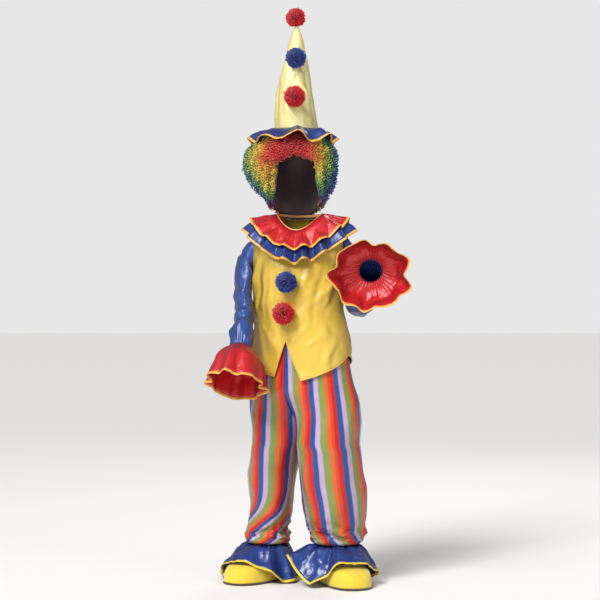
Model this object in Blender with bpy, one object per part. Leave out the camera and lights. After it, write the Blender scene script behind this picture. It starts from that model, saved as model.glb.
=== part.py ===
# Clown costume as worn by a standing child: hat, curly wig, tunic, trousers and shoe covers.
# Every cloth is a hollow wall on a general figure of 1.125 m. Metres, +Z up, the front faces -Y.
# The origin is the centre of the neck opening at shoulder level, and right and left are the wearer's.

import math

import bmesh
import bpy
import numpy as np
from mathutils import Vector

# Driving dimensions
FLOOR_Z = -0.882
SEAM_GAP = 0.0003
ARMHOLE_GAP = 0.0010
SATIN_WALL = 0.0016
RUFFLE_WALL = 0.0012
TROUSER_WALL = 0.0016
BINDING_WIDTH = 0.0055
BINDING_THICKNESS = 0.0030
BINDING_GAP = 0.0006

# Tunic: half widths of the neck opening and shoulders, heights of the chest and shoulder seam
NECK_HALF = 0.0555
NECK_SHARE = 0.54
NECK_SIDE_Z = 0.013
TIP_HALF = 0.104
TIP_Z = -0.022
CHEST_Z = -0.090
UNDERARM_LEVEL = 0.849
NECK_DEPTH = {1: 0.052, -1: 0.050}
NECK_CENTRE_Z = {1: -0.029, -1: 0.010}
ARMHOLE_DEPTH = {1: 0.026, -1: 0.030}

# Collar: two ruffles share their waves, and the blue one reaches further
COLLAR_WAVES = 15
COLLAR_COLUMNS = 60
COLLAR_SWING = 0.0125
RED_COLLAR_ROWS = (0.0, 0.020, 0.042, 0.068)
BLUE_COLLAR_ROWS = (0.0, 0.020, 0.042, 0.068, 0.096)
COLLAR_START = 0.0018
NECK_BAND_HEIGHT = 0.0070
NECK_BAND_LIFT = 0.0022
NECK_BAND_THICKNESS = 0.0024
COLLAR_SIDE_CUT = 0.10
COLLAR_SAG = 0.0024
RED_COLLAR_LIFT = 0.0063
RED_COLLAR_RISE = 11.5
BLUE_COLLAR_LIFT = 0.0041

# Hat and pompoms
HAT_COLUMNS = 18
HAT_WALL = 0.0016
BRIM_START = 0.0541
BRIM_WIDTH = 0.0525
BRIM_WAVES = 8
BRIM_COLUMNS = 48
BRIM_SWING = 0.0100
HEAD_X = -0.0085
POMPOM_GAP = 0.0006
POMPOM_TUFT = 0.0030
POMPOM_FLAT = 0.80

# Trousers and ankles
WAIST_Z = -0.235
WAISTBAND_HEIGHT = 0.026
FORK_TOP_Z = -0.400
CROTCH_Z = -0.541
LEG_COLUMNS = 14
ANKLE_WAVES = 10
ANKLE_COLUMNS = 50
ANKLE_START = 0.0365
ANKLE_SWING = 0.0085
ANKLE_NECK = 0.0140
COVER_TOP = 0.0040

# Shoe covers
COVER_COLUMNS = 18
COVER_ANKLE = 0.0346
SOLE_THICKNESS = 0.0050
SOLE_MARGIN = 0.0015
FOOT_HEEL = -0.055
FOOT_TOE = 0.135
FOOT_HALF_WIDTH = 0.050


# A table of named columns, one row for each section or fold
def table(names, *rows):
    return dict(zip(names.split(), np.array(rows, float).T))


TUNIC_SECTIONS = table(
    "z centre_x half_width front back turn",
    (-0.385, 0.006, 0.1390, 0.0995, 0.0935, 30.0),
    (-0.350, 0.006, 0.1320, 0.0980, 0.0920, 29.5),
    (-0.320, 0.006, 0.1270, 0.0970, 0.0900, 29.0),
    (-0.290, 0.006, 0.1245, 0.0960, 0.0880, 28.0),
    (-0.250, 0.003, 0.1180, 0.0940, 0.0850, 26.5),
    (-0.220, -0.001, 0.1125, 0.0930, 0.0830, 25.0),
    (-0.170, -0.001, 0.1130, 0.0930, 0.0820, 21.0),
    (-0.125, 0.000, 0.1175, 0.0900, 0.0820, 16.0),
    (-0.090, 0.000, 0.1120, 0.0840, 0.0790, 13.0),
    (0.020, 0.000, 0.1040, 0.0520, 0.0500, 9.0),
)
TUNIC_LEVELS = np.array([0.0, 0.13, 0.28, 0.43, 0.57, 0.71, UNDERARM_LEVEL, 1.0,
                         1.17, 1.33, 1.50, 1.67, 1.83, 2.0])
UNDERARM_ROW = 6
FRONT_COLUMNS = np.array([-1.0, -0.86, -0.70, -0.54, -0.38, -0.24, -0.11, 0.02,
                          0.12, 0.229, 0.38, 0.54, 0.70, 0.86, 1.0])
BACK_COLUMNS = np.array([-1.0, -0.85, -0.70, -0.54, -0.27, 0.0, 0.27, 0.54, 0.70, 0.85, 1.0])

# Hem heights across each panel, from the right side seam to the left one
FRONT_HEM = table(
    "across z",
    (-1.00, -0.3220),
    (-0.70, -0.3430),
    (-0.30, -0.3640),
    (-0.11, -0.3725),
    (0.02, -0.2866),
    (0.229, -0.3810),
    (0.38, -0.3724),
    (0.63, -0.3545),
    (0.80, -0.3405),
    (1.00, -0.3216),
)
BACK_HEM = table(
    "across z",
    (-1.00, -0.3220),
    (-0.50, -0.3500),
    (0.00, -0.3620),
    (0.50, -0.3500),
    (1.00, -0.3216),
)

# Sleeve rings: a point on the under seam, a point on the top line, and half the depth between them
RIGHT_SLEEVE = table(
    "under_x under_y under_z over_x over_y over_z depth",
    (-0.1250, 0.031, -0.131, -0.1370, 0.022, -0.062, 0.031),
    (-0.1225, 0.031, -0.140, -0.1510, 0.024, -0.088, 0.036),
    (-0.1220, 0.026, -0.158, -0.1590, 0.019, -0.125, 0.038),
    (-0.1190, 0.014, -0.180, -0.1605, 0.010, -0.165, 0.040),
    (-0.1150, 0.002, -0.205, -0.1625, -0.001, -0.197, 0.039),
    (-0.1150, -0.010, -0.224, -0.1560, -0.013, -0.216, 0.036),
    (-0.1120, -0.022, -0.242, -0.1615, -0.025, -0.236, 0.038),
    (-0.1150, -0.033, -0.256, -0.1565, -0.036, -0.251, 0.034),
    (-0.1100, -0.047, -0.274, -0.1690, -0.050, -0.270, 0.037),
    (-0.1130, -0.061, -0.291, -0.1680, -0.065, -0.290, 0.032),
)
LEFT_SLEEVE = table(
    "under_x under_y under_z over_x over_y over_z depth",
    (0.1230, -0.033, -0.131, 0.1360, -0.023, -0.062, 0.031),
    (0.1225, -0.033, -0.140, 0.1500, -0.024, -0.088, 0.036),
    (0.1225, -0.030, -0.155, 0.1600, -0.018, -0.125, 0.037),
    (0.1200, -0.016, -0.172, 0.1660, -0.002, -0.158, 0.038),
    (0.1150, -0.020, -0.192, 0.1690, -0.008, -0.184, 0.036),
    (0.1110, -0.042, -0.203, 0.1730, -0.036, -0.200, 0.032),
    (0.1065, -0.072, -0.197, 0.1790, -0.068, -0.190, 0.034),
    (0.1120, -0.094, -0.176, 0.1830, -0.086, -0.167, 0.034),
    (0.1220, -0.117, -0.153, 0.1870, -0.107, -0.145, 0.032),
    (0.1350, -0.137, -0.134, 0.1930, -0.130, -0.126, 0.0285),
)
SLEEVE_END_RADIUS = 0.0275

# Cuff ruffles: gathered wrist, centre of the open rim, and the rim's half sizes
CUFFS = {
    "right": {
        "wrist": (-0.1418, -0.0750, -0.3066),
        "rim": (-0.1522, -0.1180, -0.3907),
        "half_wide": 0.067,
        "half_tall": 0.079,
        "phase": 0.4,
    },
    "left": {
        "wrist": (0.1665, -0.1570, -0.1215),
        "rim": (0.1625, -0.2100, -0.1340),
        "half_wide": 0.090,
        "half_tall": 0.080,
        "phase": 1.9,
    },
}
CUFF_WAVES = 9
CUFF_COLUMNS = 45
CUFF_SWING = 0.0100
CUFF_START = 0.0275
CUFF_ROWS = table(
    "share out along",
    (0.0, 0.00, 0.00),
    (0.5, 0.66, 0.36),
    (1.0, 1.00, 1.00),
)

# Trousers at hip height: half widths to each side, depths to the front and back
HIP_SECTIONS = table(
    "z centre_x right left front back turn",
    (-0.560, 0.006, 0.1400, 0.1520, 0.0900, 0.0880, 29.0),
    (-0.470, 0.006, 0.1450, 0.1560, 0.0930, 0.0880, 29.0),
    (-0.430, 0.006, 0.1440, 0.1490, 0.0935, 0.0880, 29.5),
    (-0.385, 0.006, 0.1330, 0.1345, 0.0935, 0.0875, 30.0),
    (-0.350, 0.006, 0.1265, 0.1265, 0.0920, 0.0860, 29.5),
    (-0.320, 0.006, 0.1215, 0.1215, 0.0910, 0.0840, 29.0),
    (-0.290, 0.006, 0.1190, 0.1190, 0.0900, 0.0820, 28.0),
    (-0.250, 0.003, 0.1108, 0.1108, 0.0873, 0.0783, 26.5),
    (-0.200, -0.001, 0.1008, 0.1008, 0.0808, 0.0708, 23.5),
)
RIGHT_LEG = table(
    "z centre_x centre_y side front turn",
    (-0.782, -0.0800, 0.0550, 0.0380, 0.0380, 10.0),
    (-0.7905, -0.0800, 0.0550, 0.0470, 0.0470, 10.0),
    (-0.786, -0.0790, 0.0550, 0.0560, 0.0580, 10.0),
    (-0.764, -0.0805, 0.0550, 0.0545, 0.0600, 10.0),
    (-0.745, -0.0770, 0.0530, 0.0545, 0.0610, 12.0),
    (-0.703, -0.0710, 0.0480, 0.0545, 0.0640, 15.0),
    (-0.656, -0.0705, 0.0420, 0.0570, 0.0680, 20.0),
    (-0.600, -0.0630, 0.0360, 0.0600, 0.0750, 26.0),
    (-0.541, -0.0484, 0.0302, 0.0620, 0.0850, 29.0),
)
LEFT_LEG = table(
    "z centre_x centre_y side front turn",
    (-0.775, 0.0895, 0.0000, 0.0380, 0.0380, 10.0),
    (-0.7845, 0.0895, 0.0000, 0.0500, 0.0500, 10.0),
    (-0.781, 0.0900, -0.0010, 0.0640, 0.0620, 10.0),
    (-0.762, 0.0910, -0.0040, 0.0725, 0.0680, 10.0),
    (-0.742, 0.0900, -0.0080, 0.0750, 0.0700, 12.0),
    (-0.703, 0.0865, -0.0150, 0.0805, 0.0740, 15.0),
    (-0.656, 0.0855, -0.0240, 0.0820, 0.0790, 20.0),
    (-0.600, 0.0800, -0.0330, 0.0780, 0.0830, 26.0),
    (-0.541, 0.0718, -0.0365, 0.0750, 0.0850, 29.0),
)
HIP_LEVELS = (WAIST_Z - SEAM_GAP, -0.262, -0.291, -0.325, -0.360, -0.395, -0.430, -0.470, -0.508)

# Ankle ruffles: reach and height of the hem by direction, 0 to the front and 90 to the left
RIGHT_ANKLE_HEM = table(
    "towards reach z swing",
    (-180.0, 0.100, -0.860, 1.0),
    (-135.0, 0.105, -0.862, 1.0),
    (-90.0, 0.116, -0.866, 0.8),
    (-62.0, 0.114, -0.834, 0.3),
    (-40.0, 0.111, -0.822, 0.2),
    (-7.0, 0.101, -0.838, 0.3),
    (14.0, 0.100, -0.858, 0.7),
    (27.0, 0.098, -0.870, 0.8),
    (50.0, 0.094, -0.871, 0.8),
    (90.0, 0.074, -0.866, 0.8),
    (135.0, 0.092, -0.862, 1.0),
    (180.0, 0.100, -0.860, 1.0),
)
LEFT_ANKLE_HEM = table(
    "towards reach z swing",
    (-180.0, 0.095, -0.860, 1.0),
    (-135.0, 0.082, -0.858, 1.0),
    (-98.0, 0.076, -0.846, 0.7),
    (-64.0, 0.128, -0.812, 0.5),
    (-51.0, 0.121, -0.839, 0.6),
    (-38.0, 0.110, -0.868, 0.8),
    (-18.0, 0.101, -0.846, 0.5),
    (0.0, 0.102, -0.819, 0.2),
    (16.0, 0.103, -0.817, 0.2),
    (36.0, 0.105, -0.821, 0.2),
    (58.0, 0.110, -0.837, 0.4),
    (90.0, 0.092, -0.862, 1.0),
    (135.0, 0.095, -0.860, 1.0),
    (180.0, 0.095, -0.860, 1.0),
)
ANKLES = {
    "right": {"centre": (-0.0800, 0.0550), "gather_z": -0.782, "hem": RIGHT_ANKLE_HEM,
              "toe_out": -42.0},
    "left": {"centre": (0.0895, 0.0000), "gather_z": -0.775, "hem": LEFT_ANKLE_HEM,
             "toe_out": 24.0},
}
ANKLE_ROWS = table(
    "swing out down",
    (0.00, 0.00, 0.00),
    (0.00, 0.01, 0.00),
    (0.45, 0.45, 0.14),
    (1.00, 1.00, 1.00),
)
BRIM_ROWS = table(
    "swing out down",
    (0.00, 0.00, 0.0000),
    (0.45, 0.50, 0.0060),
    (1.00, 0.96, 0.0240),
)

# Shoe covers: how far each ring has moved from the ankle ring to the sole's outline, and its height
COVER_ROWS = table(
    "spread height",
    (0.00, 0.0780),
    (0.20, 0.0580),
    (0.52, 0.0460),
    (0.84, 0.0365),
    (0.97, 0.0210),
    (1.00, 0.0000),
)

HAT_SECTIONS = table(
    "z centre_x radius",
    (0.2250, -0.0085, 0.0535),
    (0.2700, -0.0120, 0.0495),
    (0.3150, -0.0135, 0.0445),
    (0.3600, -0.0115, 0.0360),
    (0.4050, -0.0100, 0.0270),
    (0.4450, -0.0085, 0.0165),
    (0.4700, -0.0078, 0.0085),
    (0.4810, -0.0072, 0.0038),
)
POMPOM_PLACES = {
    "hat_pompom_top": {"radius": 0.0235, "colour": "pompom_red"},
    "hat_pompom_middle": {"radius": 0.0240, "colour": "pompom_blue", "height": 0.391},
    "hat_pompom_lower": {"radius": 0.0255, "colour": "pompom_red", "height": 0.297},
    "chest_pompom_blue": {"radius": 0.0250, "colour": "pompom_blue", "height": -0.150,
                          "across": 0.02},
    "chest_pompom_red": {"radius": 0.0260, "colour": "pompom_red", "height": -0.2232,
                         "across": 0.05},
}

# Wig: outer hair by height, and the head space inside it
WIG_COLUMNS = 24
WIG_OUTER = table(
    "z centre_x side front back",
    (0.000, -0.009, 0.0560, 0.0560, 0.0720),
    (0.030, -0.009, 0.0620, 0.0620, 0.0900),
    (0.050, -0.009, 0.0690, 0.0700, 0.1020),
    (0.075, -0.014, 0.0930, 0.0840, 0.1160),
    (0.110, -0.020, 0.1120, 0.0980, 0.1240),
    (0.150, -0.023, 0.1180, 0.1060, 0.1190),
    (0.175, -0.022, 0.1130, 0.1040, 0.1060),
    (0.195, -0.016, 0.0930, 0.0880, 0.0870),
    (0.212, -0.011, 0.0720, 0.0700, 0.0740),
    (0.2238, -0.0085, 0.0535, 0.0535, 0.0535),
    (0.2330, -0.0085, 0.0300, 0.0300, 0.0300),
    (0.2360, -0.0085, 0.0000, 0.0000, 0.0000),
)
HEAD_SPACE = table(
    "z centre_x side front back",
    (0.000, -0.009, 0.0540, 0.0540, 0.0560),
    (0.030, -0.009, 0.0560, 0.0560, 0.0600),
    (0.060, -0.009, 0.0600, 0.0620, 0.0700),
    (0.100, -0.009, 0.0680, 0.0720, 0.0860),
    (0.140, -0.009, 0.0700, 0.0780, 0.0880),
    (0.175, -0.009, 0.0620, 0.0680, 0.0740),
    (0.198, -0.009, 0.0420, 0.0440, 0.0460),
    (0.208, -0.009, 0.0200, 0.0200, 0.0200),
    (0.211, -0.009, 0.0000, 0.0000, 0.0000),
)
WIG_RIM = table(
    "towards z",
    (-180.0, 0.0082),
    (-140.0, 0.018),
    (-95.0, 0.042),
    (-60.0, 0.050),
    (-46.0, 0.070),
    (-36.0, 0.135),
    (0.0, 0.156),
    (36.0, 0.138),
    (46.0, 0.075),
    (60.0, 0.054),
    (95.0, 0.042),
    (140.0, 0.018),
    (180.0, 0.0082),
)
WIG_CURL = 0.0065
WIG_ROUND = 0.012
WIG_HAT_Z = 0.2238
WIG_SHARES = (0.20, 0.38, 0.55, 0.71, 0.86, 1.0)

COLOURS = {
    "tunic_yellow": (0.80, 0.55, 0.10, 0.35),
    "neck_gold": (0.92, 0.48, 0.12, 0.45),
    "collar_red": (0.78, 0.03, 0.03, 0.38),
    "collar_blue": (0.05, 0.10, 0.42, 0.36),
    "edge_gold": (0.92, 0.55, 0.14, 0.45),
    "sleeve_blue": (0.06, 0.15, 0.50, 0.32),
    "stripe_red": (0.68, 0.16, 0.06, 0.40),
    "waist_white": (0.70, 0.66, 0.60, 0.60),
    "ankle_gold": (0.80, 0.62, 0.06, 0.45),
    "shoe_yellow": (0.84, 0.62, 0.05, 0.42),
    "sole_brown": (0.07, 0.04, 0.04, 0.70),
    "hat_cream": (0.88, 0.84, 0.45, 0.40),
    "pompom_red": (0.74, 0.02, 0.03, 0.95),
    "pompom_blue": (0.03, 0.08, 0.33, 0.95),
    "wig_orange": (0.80, 0.16, 0.03, 0.70),
}


# Smooth curve through the points of a table
def curve(places, values, wanted):
    slopes = np.gradient(values, places)
    wanted = np.clip(wanted, places[0], places[-1])
    at = np.clip(np.searchsorted(places, wanted) - 1, 0, len(places) - 2)
    span = places[at + 1] - places[at]
    t = (wanted - places[at]) / span
    return ((1 + 2 * t) * (1 - t) ** 2 * values[at] + t * (1 - t) ** 2 * span * slopes[at]
            + t * t * (3 - 2 * t) * values[at + 1] + t * t * (t - 1) * span * slopes[at + 1])


def along(sections, name, z):
    return curve(sections["z"], sections[name], z)


def ease(x):
    x = np.clip(x, 0.0, 1.0)
    return x * x * (3 - 2 * x)


def unit(vectors):
    return vectors / np.linalg.norm(vectors, axis=-1, keepdims=True)


# Side and front directions of a section turned about Z
def turned(degrees):
    turn = np.radians(degrees)
    side = np.stack([np.cos(turn), -np.sin(turn), 0 * turn], -1)
    front = np.stack([-np.sin(turn), -np.cos(turn), 0 * turn], -1)
    return side, front


# Unit normals of a grid of points, pointing away from the given points inside it
def normals(grid, inside, closed):
    if closed:
        around = np.roll(grid, -1, 1) - np.roll(grid, 1, 1)
    else:
        around = np.gradient(grid, axis=1)
    lengthwise = np.gradient(grid, axis=0)
    found = unit(np.cross(lengthwise, around))
    return found if (found * (grid - inside)).sum() > 0 else -found


def principled(name, colour):
    red, green, blue, roughness = COLOURS[colour]
    material = bpy.data.materials.new(name)
    material.use_nodes = True
    shader = material.node_tree.nodes["Principled BSDF"]
    shader.inputs["Base Color"].default_value = (red, green, blue, 1.0)
    shader.inputs["Roughness"].default_value = roughness
    shader.inputs["Metallic"].default_value = 0.0
    return material


def add_object(name, points, faces, colour, smooth=True):
    mesh = bpy.data.meshes.new(name)
    used, faces = np.unique(np.asarray(faces), return_inverse=True)
    faces = faces.reshape(-1, 3)
    corners = np.asarray(points).reshape(-1, 3)[used]
    first, second, third = corners[faces[:, 0]], corners[faces[:, 1]], corners[faces[:, 2]]
    if (first * np.cross(second, third)).sum() < 0:
        faces = faces[:, ::-1]
    mesh.from_pydata(corners.tolist(), [], faces.tolist())
    mesh.update()
    if smooth:
        mesh.shade_smooth()
        mesh.set_sharp_from_angle(angle=math.radians(50.0))
    mesh.materials.append(principled(name, colour))
    made = bpy.data.objects.new(name, mesh)
    bpy.context.scene.collection.objects.link(made)
    made.parent = bpy.data.objects["costume"]
    return made


# Two triangles for each cell between two rows of point numbers
def cells(first, second):
    a, b = first[:-1], first[1:]
    d, c = second[:-1], second[1:]
    return np.concatenate([np.stack([a, b, c], -1), np.stack([a, c, d], -1)])


# A cloth wall from its outer and inner points, open at both ends.
# From row joined_from on, the last column is the first one again, so that the wall is a tube there.
def add_wall(name, outer, inner, colour, joined_from):
    rows, columns = outer.shape[:2]
    out_ids = np.arange(rows * columns).reshape(rows, columns)
    out_ids[joined_from:, -1] = out_ids[joined_from:, 0]
    in_ids = out_ids + rows * columns
    faces = []
    for row in range(rows - 1):
        faces.append(cells(out_ids[row], out_ids[row + 1]))
        faces.append(cells(in_ids[row], in_ids[row + 1])[:, ::-1])
    faces.append(cells(in_ids[0], out_ids[0]))
    faces.append(cells(out_ids[-1], in_ids[-1]))
    if joined_from > 0:
        slit = min(joined_from, rows - 1) + 1
        faces.append(cells(out_ids[:slit, 0], in_ids[:slit, 0]))
        faces.append(cells(in_ids[:slit, -1], out_ids[:slit, -1]))
    points = np.concatenate([outer.reshape(-1, 3), inner.reshape(-1, 3)])
    return add_object(name, points, np.concatenate(faces), colour)


# Repeats the first column at the end of a closed grid
def closed_grid(grid):
    return np.concatenate([grid, grid[:, :1]], 1)


# The inner points of a closed wall, with its end rings kept in their planes
def inner_points(outer, wall, inside, start_axis=None, end_axis=None):
    facing = normals(outer, inside, True)
    for row, axis in ((0, start_axis), (-1, end_axis)):
        if axis is not None:
            facing[row] = unit(facing[row] - (facing[row] @ axis)[:, None] * axis)
    return outer - wall * facing


# A bar of four corners along a line of frames, closed into a ring or capped at its ends
def add_bar(name, corners, colour, ring):
    count = corners.shape[1]
    ids = np.arange(4 * count).reshape(4, count)
    if ring:
        ids = np.concatenate([ids, ids[:, :1]], 1)
    faces = [cells(ids[side], ids[(side + 1) % 4]) for side in range(4)]
    if not ring:
        for end, order in ((0, 1), (-1, -1)):
            a, b, c, d = ids[::order, end]
            faces.append(np.array([[a, b, c], [a, c, d]]))
    return add_object(name, corners, np.concatenate(faces), colour)


# The binding along the last row of a wall
def add_binding(name, outer, inner, colour, ring=True, width=BINDING_WIDTH):
    middle = (outer[-1] + inner[-1]) / 2
    onward = unit(outer[-1] - outer[-2])
    across = unit(outer[-1] - inner[-1])
    onward = unit(onward - (onward * across).sum(-1, keepdims=True) * across)
    half = across * BINDING_THICKNESS / 2
    near = middle + onward * BINDING_GAP
    far = near + onward * width
    return add_bar(name, np.stack([near + half, far + half, far - half, near - half]), colour, ring)


# Height and size of each wave differ a little from the next
def uneven(angles, waves, phase):
    return 1 + 0.22 * np.sin(angles * 2 + phase) + 0.16 * np.sin(angles * (waves // 2) + 1.3 * phase)


# Tunic panels: across from the right side seam to the left one, level 0 at the hem, 1 at the chest
# and 2 at the shoulder seams and neckline
def tunic_panel(facing, across, levels):
    hem = FRONT_HEM if facing > 0 else BACK_HEM
    depth_name = "front" if facing > 0 else "back"
    u = across[None, :]
    lower = np.clip(levels, 0, 1)[:, None]
    foot = np.interp(u, hem["across"], hem["z"])
    z = foot + (CHEST_Z - foot) * lower
    angle = u * math.pi / 2
    edge = ARMHOLE_DEPTH[facing] * ease((lower - UNDERARM_LEVEL) / (1 - UNDERARM_LEVEL))
    wide = along(TUNIC_SECTIONS, "half_width", z) * np.sin(angle)
    deep = edge + (along(TUNIC_SECTIONS, depth_name, z) - edge) * np.cos(angle)
    neck_angle = np.clip(u / NECK_SHARE, -1, 1) * math.pi / 2
    outward = np.clip((abs(u) - NECK_SHARE) / (1 - NECK_SHARE), 0, 1)
    top_wide = NECK_HALF * np.sin(neck_angle) + np.sign(u) * outward * (TIP_HALF - NECK_HALF)
    top_deep = NECK_DEPTH[facing] * np.cos(neck_angle)
    top_z = (NECK_SIDE_Z + (NECK_CENTRE_Z[facing] - NECK_SIDE_Z) * np.cos(neck_angle) ** 2
             + (TIP_Z - NECK_SIDE_Z) * outward)
    yoke = np.clip(levels - 1, 0, 1)[:, None] * math.pi / 2
    wide = wide + (top_wide - wide) * (1 - np.cos(yoke))
    deep = deep + (top_deep - deep) * (1 - np.cos(yoke))
    z = z + (top_z - z) * np.sin(yoke)
    side, front = turned(along(TUNIC_SECTIONS, "turn", z))
    centre = np.stack([along(TUNIC_SECTIONS, "centre_x", z), 0 * z, z], -1)
    offset = facing * (deep + SEAM_GAP / 2)
    return centre + side * wide[..., None] + front * offset[..., None], centre, front


# Outer and inner points of a tunic panel, with its seam edges square to the seams
def tunic_wall(facing, across, levels):
    outer, centre, front = tunic_panel(facing, across, levels)
    facing_out = normals(outer, centre, False)
    seams = np.zeros(outer.shape[:2], bool)
    seams[:, [0, -1]] = (levels <= UNDERARM_LEVEL)[:, None]
    seams[-1] |= abs(across) >= NECK_SHARE
    square = facing_out - (facing_out * front).sum(-1, keepdims=True) * front
    facing_out = np.where(seams[..., None], unit(square), facing_out)
    return outer, outer - SATIN_WALL * facing_out


# The rim of one armhole: under seam, front edge, shoulder tip, back edge
def armhole(which, sign):
    front_edge = TUNIC_WALLS[1][which][UNDERARM_ROW:, -1 if sign > 0 else 0]
    back_edge = TUNIC_WALLS[-1][which][UNDERARM_ROW:, -1 if sign > 0 else 0]
    under = (front_edge[:1] + back_edge[:1]) / 2
    tip = (front_edge[-1:] + back_edge[-1:]) / 2
    rim = np.concatenate([under, front_edge[1:-1], tip, back_edge[-2:0:-1]])
    side, _ = turned(along(TUNIC_SECTIONS, "turn", rim[:, 2]))
    inward = unit(rim.mean(0) - rim)
    return rim + (sign * side + inward) * ARMHOLE_GAP


def add_sleeve(name, sign, rings, cuff):
    start = armhole(0, sign)
    columns = len(start)
    angle = np.arange(columns) * 2 * math.pi / columns
    under = np.stack([rings["under_x"], rings["under_y"], rings["under_z"]], -1)
    over = np.stack([rings["over_x"], rings["over_y"], rings["over_z"]], -1)
    wrist = np.array(cuff["wrist"])
    axis = unit(np.array(cuff["rim"]) - wrist)
    centres = np.concatenate([(under + over) / 2, wrist[None]])
    outer = [start]
    for ring in range(len(under)):
        inward = (under[ring] - over[ring]) / 2
        onward = unit(centres[ring + 1] - centres[ring])
        forward = unit(np.cross(onward, inward)) * -sign
        outer.append(centres[ring] + np.outer(np.cos(angle), inward)
                     + np.outer(np.sin(angle), forward) * rings["depth"][ring])
    inward = unit(inward - (inward @ axis) * axis)
    forward = unit(np.cross(axis, inward)) * -sign
    outer.append(wrist - axis * SEAM_GAP + SLEEVE_END_RADIUS
                 * (np.outer(np.cos(angle), inward) + np.outer(np.sin(angle), forward)))
    outer = np.array(outer)
    inner = inner_points(outer, SATIN_WALL, outer.mean(1, keepdims=True), None, axis)
    inner[0] = armhole(1, sign)
    add_wall(name, closed_grid(outer), closed_grid(inner), "sleeve_blue", 0)


def add_cuff(side, cuff):
    wrist, rim = np.array(cuff["wrist"]), np.array(cuff["rim"])
    axis = unit(rim - wrist)
    reach = np.linalg.norm(rim - wrist)
    right = unit(np.cross(axis, (0.0, 0.0, 1.0)))
    upright = np.cross(right, axis)
    angle = np.arange(CUFF_COLUMNS) * 2 * math.pi / CUFF_COLUMNS
    spoke = np.outer(np.cos(angle), right) + np.outer(np.sin(angle), upright)
    rim_size = np.hypot(cuff["half_wide"] * np.cos(angle), cuff["half_tall"] * np.sin(angle))
    wave = np.sin(CUFF_WAVES * angle + cuff["phase"]) * uneven(angle, CUFF_WAVES, cuff["phase"])
    out = CUFF_START + np.outer(CUFF_ROWS["out"], rim_size - CUFF_START)
    depth = np.outer(CUFF_ROWS["along"] * reach, np.ones(CUFF_COLUMNS))
    mean = wrist + depth[..., None] * axis + out[..., None] * spoke
    swing = np.outer(CUFF_SWING * CUFF_ROWS["share"] ** 1.3, wave)
    outer = mean + swing[..., None] * normals(mean, wrist + depth[..., None] * axis, True)
    inner = inner_points(outer, RUFFLE_WALL, wrist + depth[..., None] * axis, axis)
    name = "cuff_" + side
    add_wall(name, closed_grid(outer), closed_grid(inner), "collar_red", 0)
    add_binding(name + "_binding", outer, inner, "edge_gold")


# Points of the neckline at the given directions, on the panels' own edges
def neckline(angles):
    front = TUNIC_WALLS[1][0][-1][abs(FRONT_COLUMNS) <= NECK_SHARE]
    back = TUNIC_WALLS[-1][0][-1][abs(BACK_COLUMNS) <= NECK_SHARE]
    loop = np.concatenate([front, back[-2:0:-1]])
    towards = np.arctan2(loop[:, 0], -loop[:, 1])
    return np.stack([np.interp(angles, towards, loop[:, axis], period=2 * math.pi)
                     for axis in range(3)], -1)


# Moves points out from the tunic's shoulders and chest until they are at least this far from them
def clear_of_tunic(points, clear):
    surface, facing_out = [], []
    for facing in (1, -1):
        found, centre, _ = tunic_panel(facing, np.linspace(-1.0, 1.0, 161), np.linspace(0.85, 2.0, 71))
        surface.append(found.reshape(-1, 3))
        facing_out.append(normals(found, centre, False).reshape(-1, 3))
    surface, facing_out = np.concatenate(surface), np.concatenate(facing_out)
    nearest = np.linalg.norm(points[:, None] - surface[None], axis=-1).argmin(1)
    height = ((points - surface[nearest]) * facing_out[nearest]).sum(-1)
    return points + facing_out[nearest] * np.maximum(0.0, clear - height)[:, None]


# How steeply the collar lies at a distance from the neckline: flat, then along the body, then hanging
def collar_slope(distance, angles, lift):
    lay = 24.0 + 38.0 * abs(np.cos(angles)) ** 1.5 - lift
    slope = 5.0 + (lay - 5.0) * ease(distance / 0.035) + (65.0 - lay) * ease((distance - 0.055) / 0.04)
    return np.radians(slope)


def collar_surface(distances, lift_z, lift_angle):
    angles = np.arange(COLLAR_COLUMNS) * 2 * math.pi / COLLAR_COLUMNS
    outward = np.stack([np.sin(angles), -np.cos(angles), 0 * angles], -1)
    up = np.array([0.0, 0.0, 1.0])
    base = neckline(angles) + COLLAR_START * outward + lift_z * up
    wave = np.sin(COLLAR_WAVES * angles + 0.6) * uneven(angles, COLLAR_WAVES, 0.7)
    cut = 1 - COLLAR_SIDE_CUT * np.sin(angles) ** 2
    grid = []
    for distance in distances:
        steps = np.linspace(0, distance, 20)[:, None]
        slopes = collar_slope(steps * cut, angles[None, :], lift_angle)
        out = distance * cut * np.cos(slopes).mean(0)
        down = distance * cut * np.sin(slopes).mean(0)
        last = slopes[-1]
        facing = outward * np.sin(last)[:, None] + up * np.cos(last)[:, None]
        swing = COLLAR_SWING * (distance / BLUE_COLLAR_ROWS[-1]) ** 1.8 * wave
        ring = base + outward * out[:, None] - up * down[:, None] + facing * swing[:, None]
        clear = lift_z + COLLAR_SAG * min(1.0, distance / BLUE_COLLAR_ROWS[1])
        grid.append(clear_of_tunic(ring, clear) if distance > 0 else ring)
    return np.array(grid)


def add_collar(colour, distances, lift_z, lift_angle):
    outer = collar_surface(distances, lift_z, lift_angle)
    inner = inner_points(outer, RUFFLE_WALL, np.array([0.0, 0.0, -0.5]))
    inner[0] = outer[0] - np.array([0.0, 0.0, RUFFLE_WALL])
    add_wall(colour, closed_grid(outer), closed_grid(inner), colour, 0)
    add_binding(colour + "_binding", outer, inner, "edge_gold")


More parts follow.
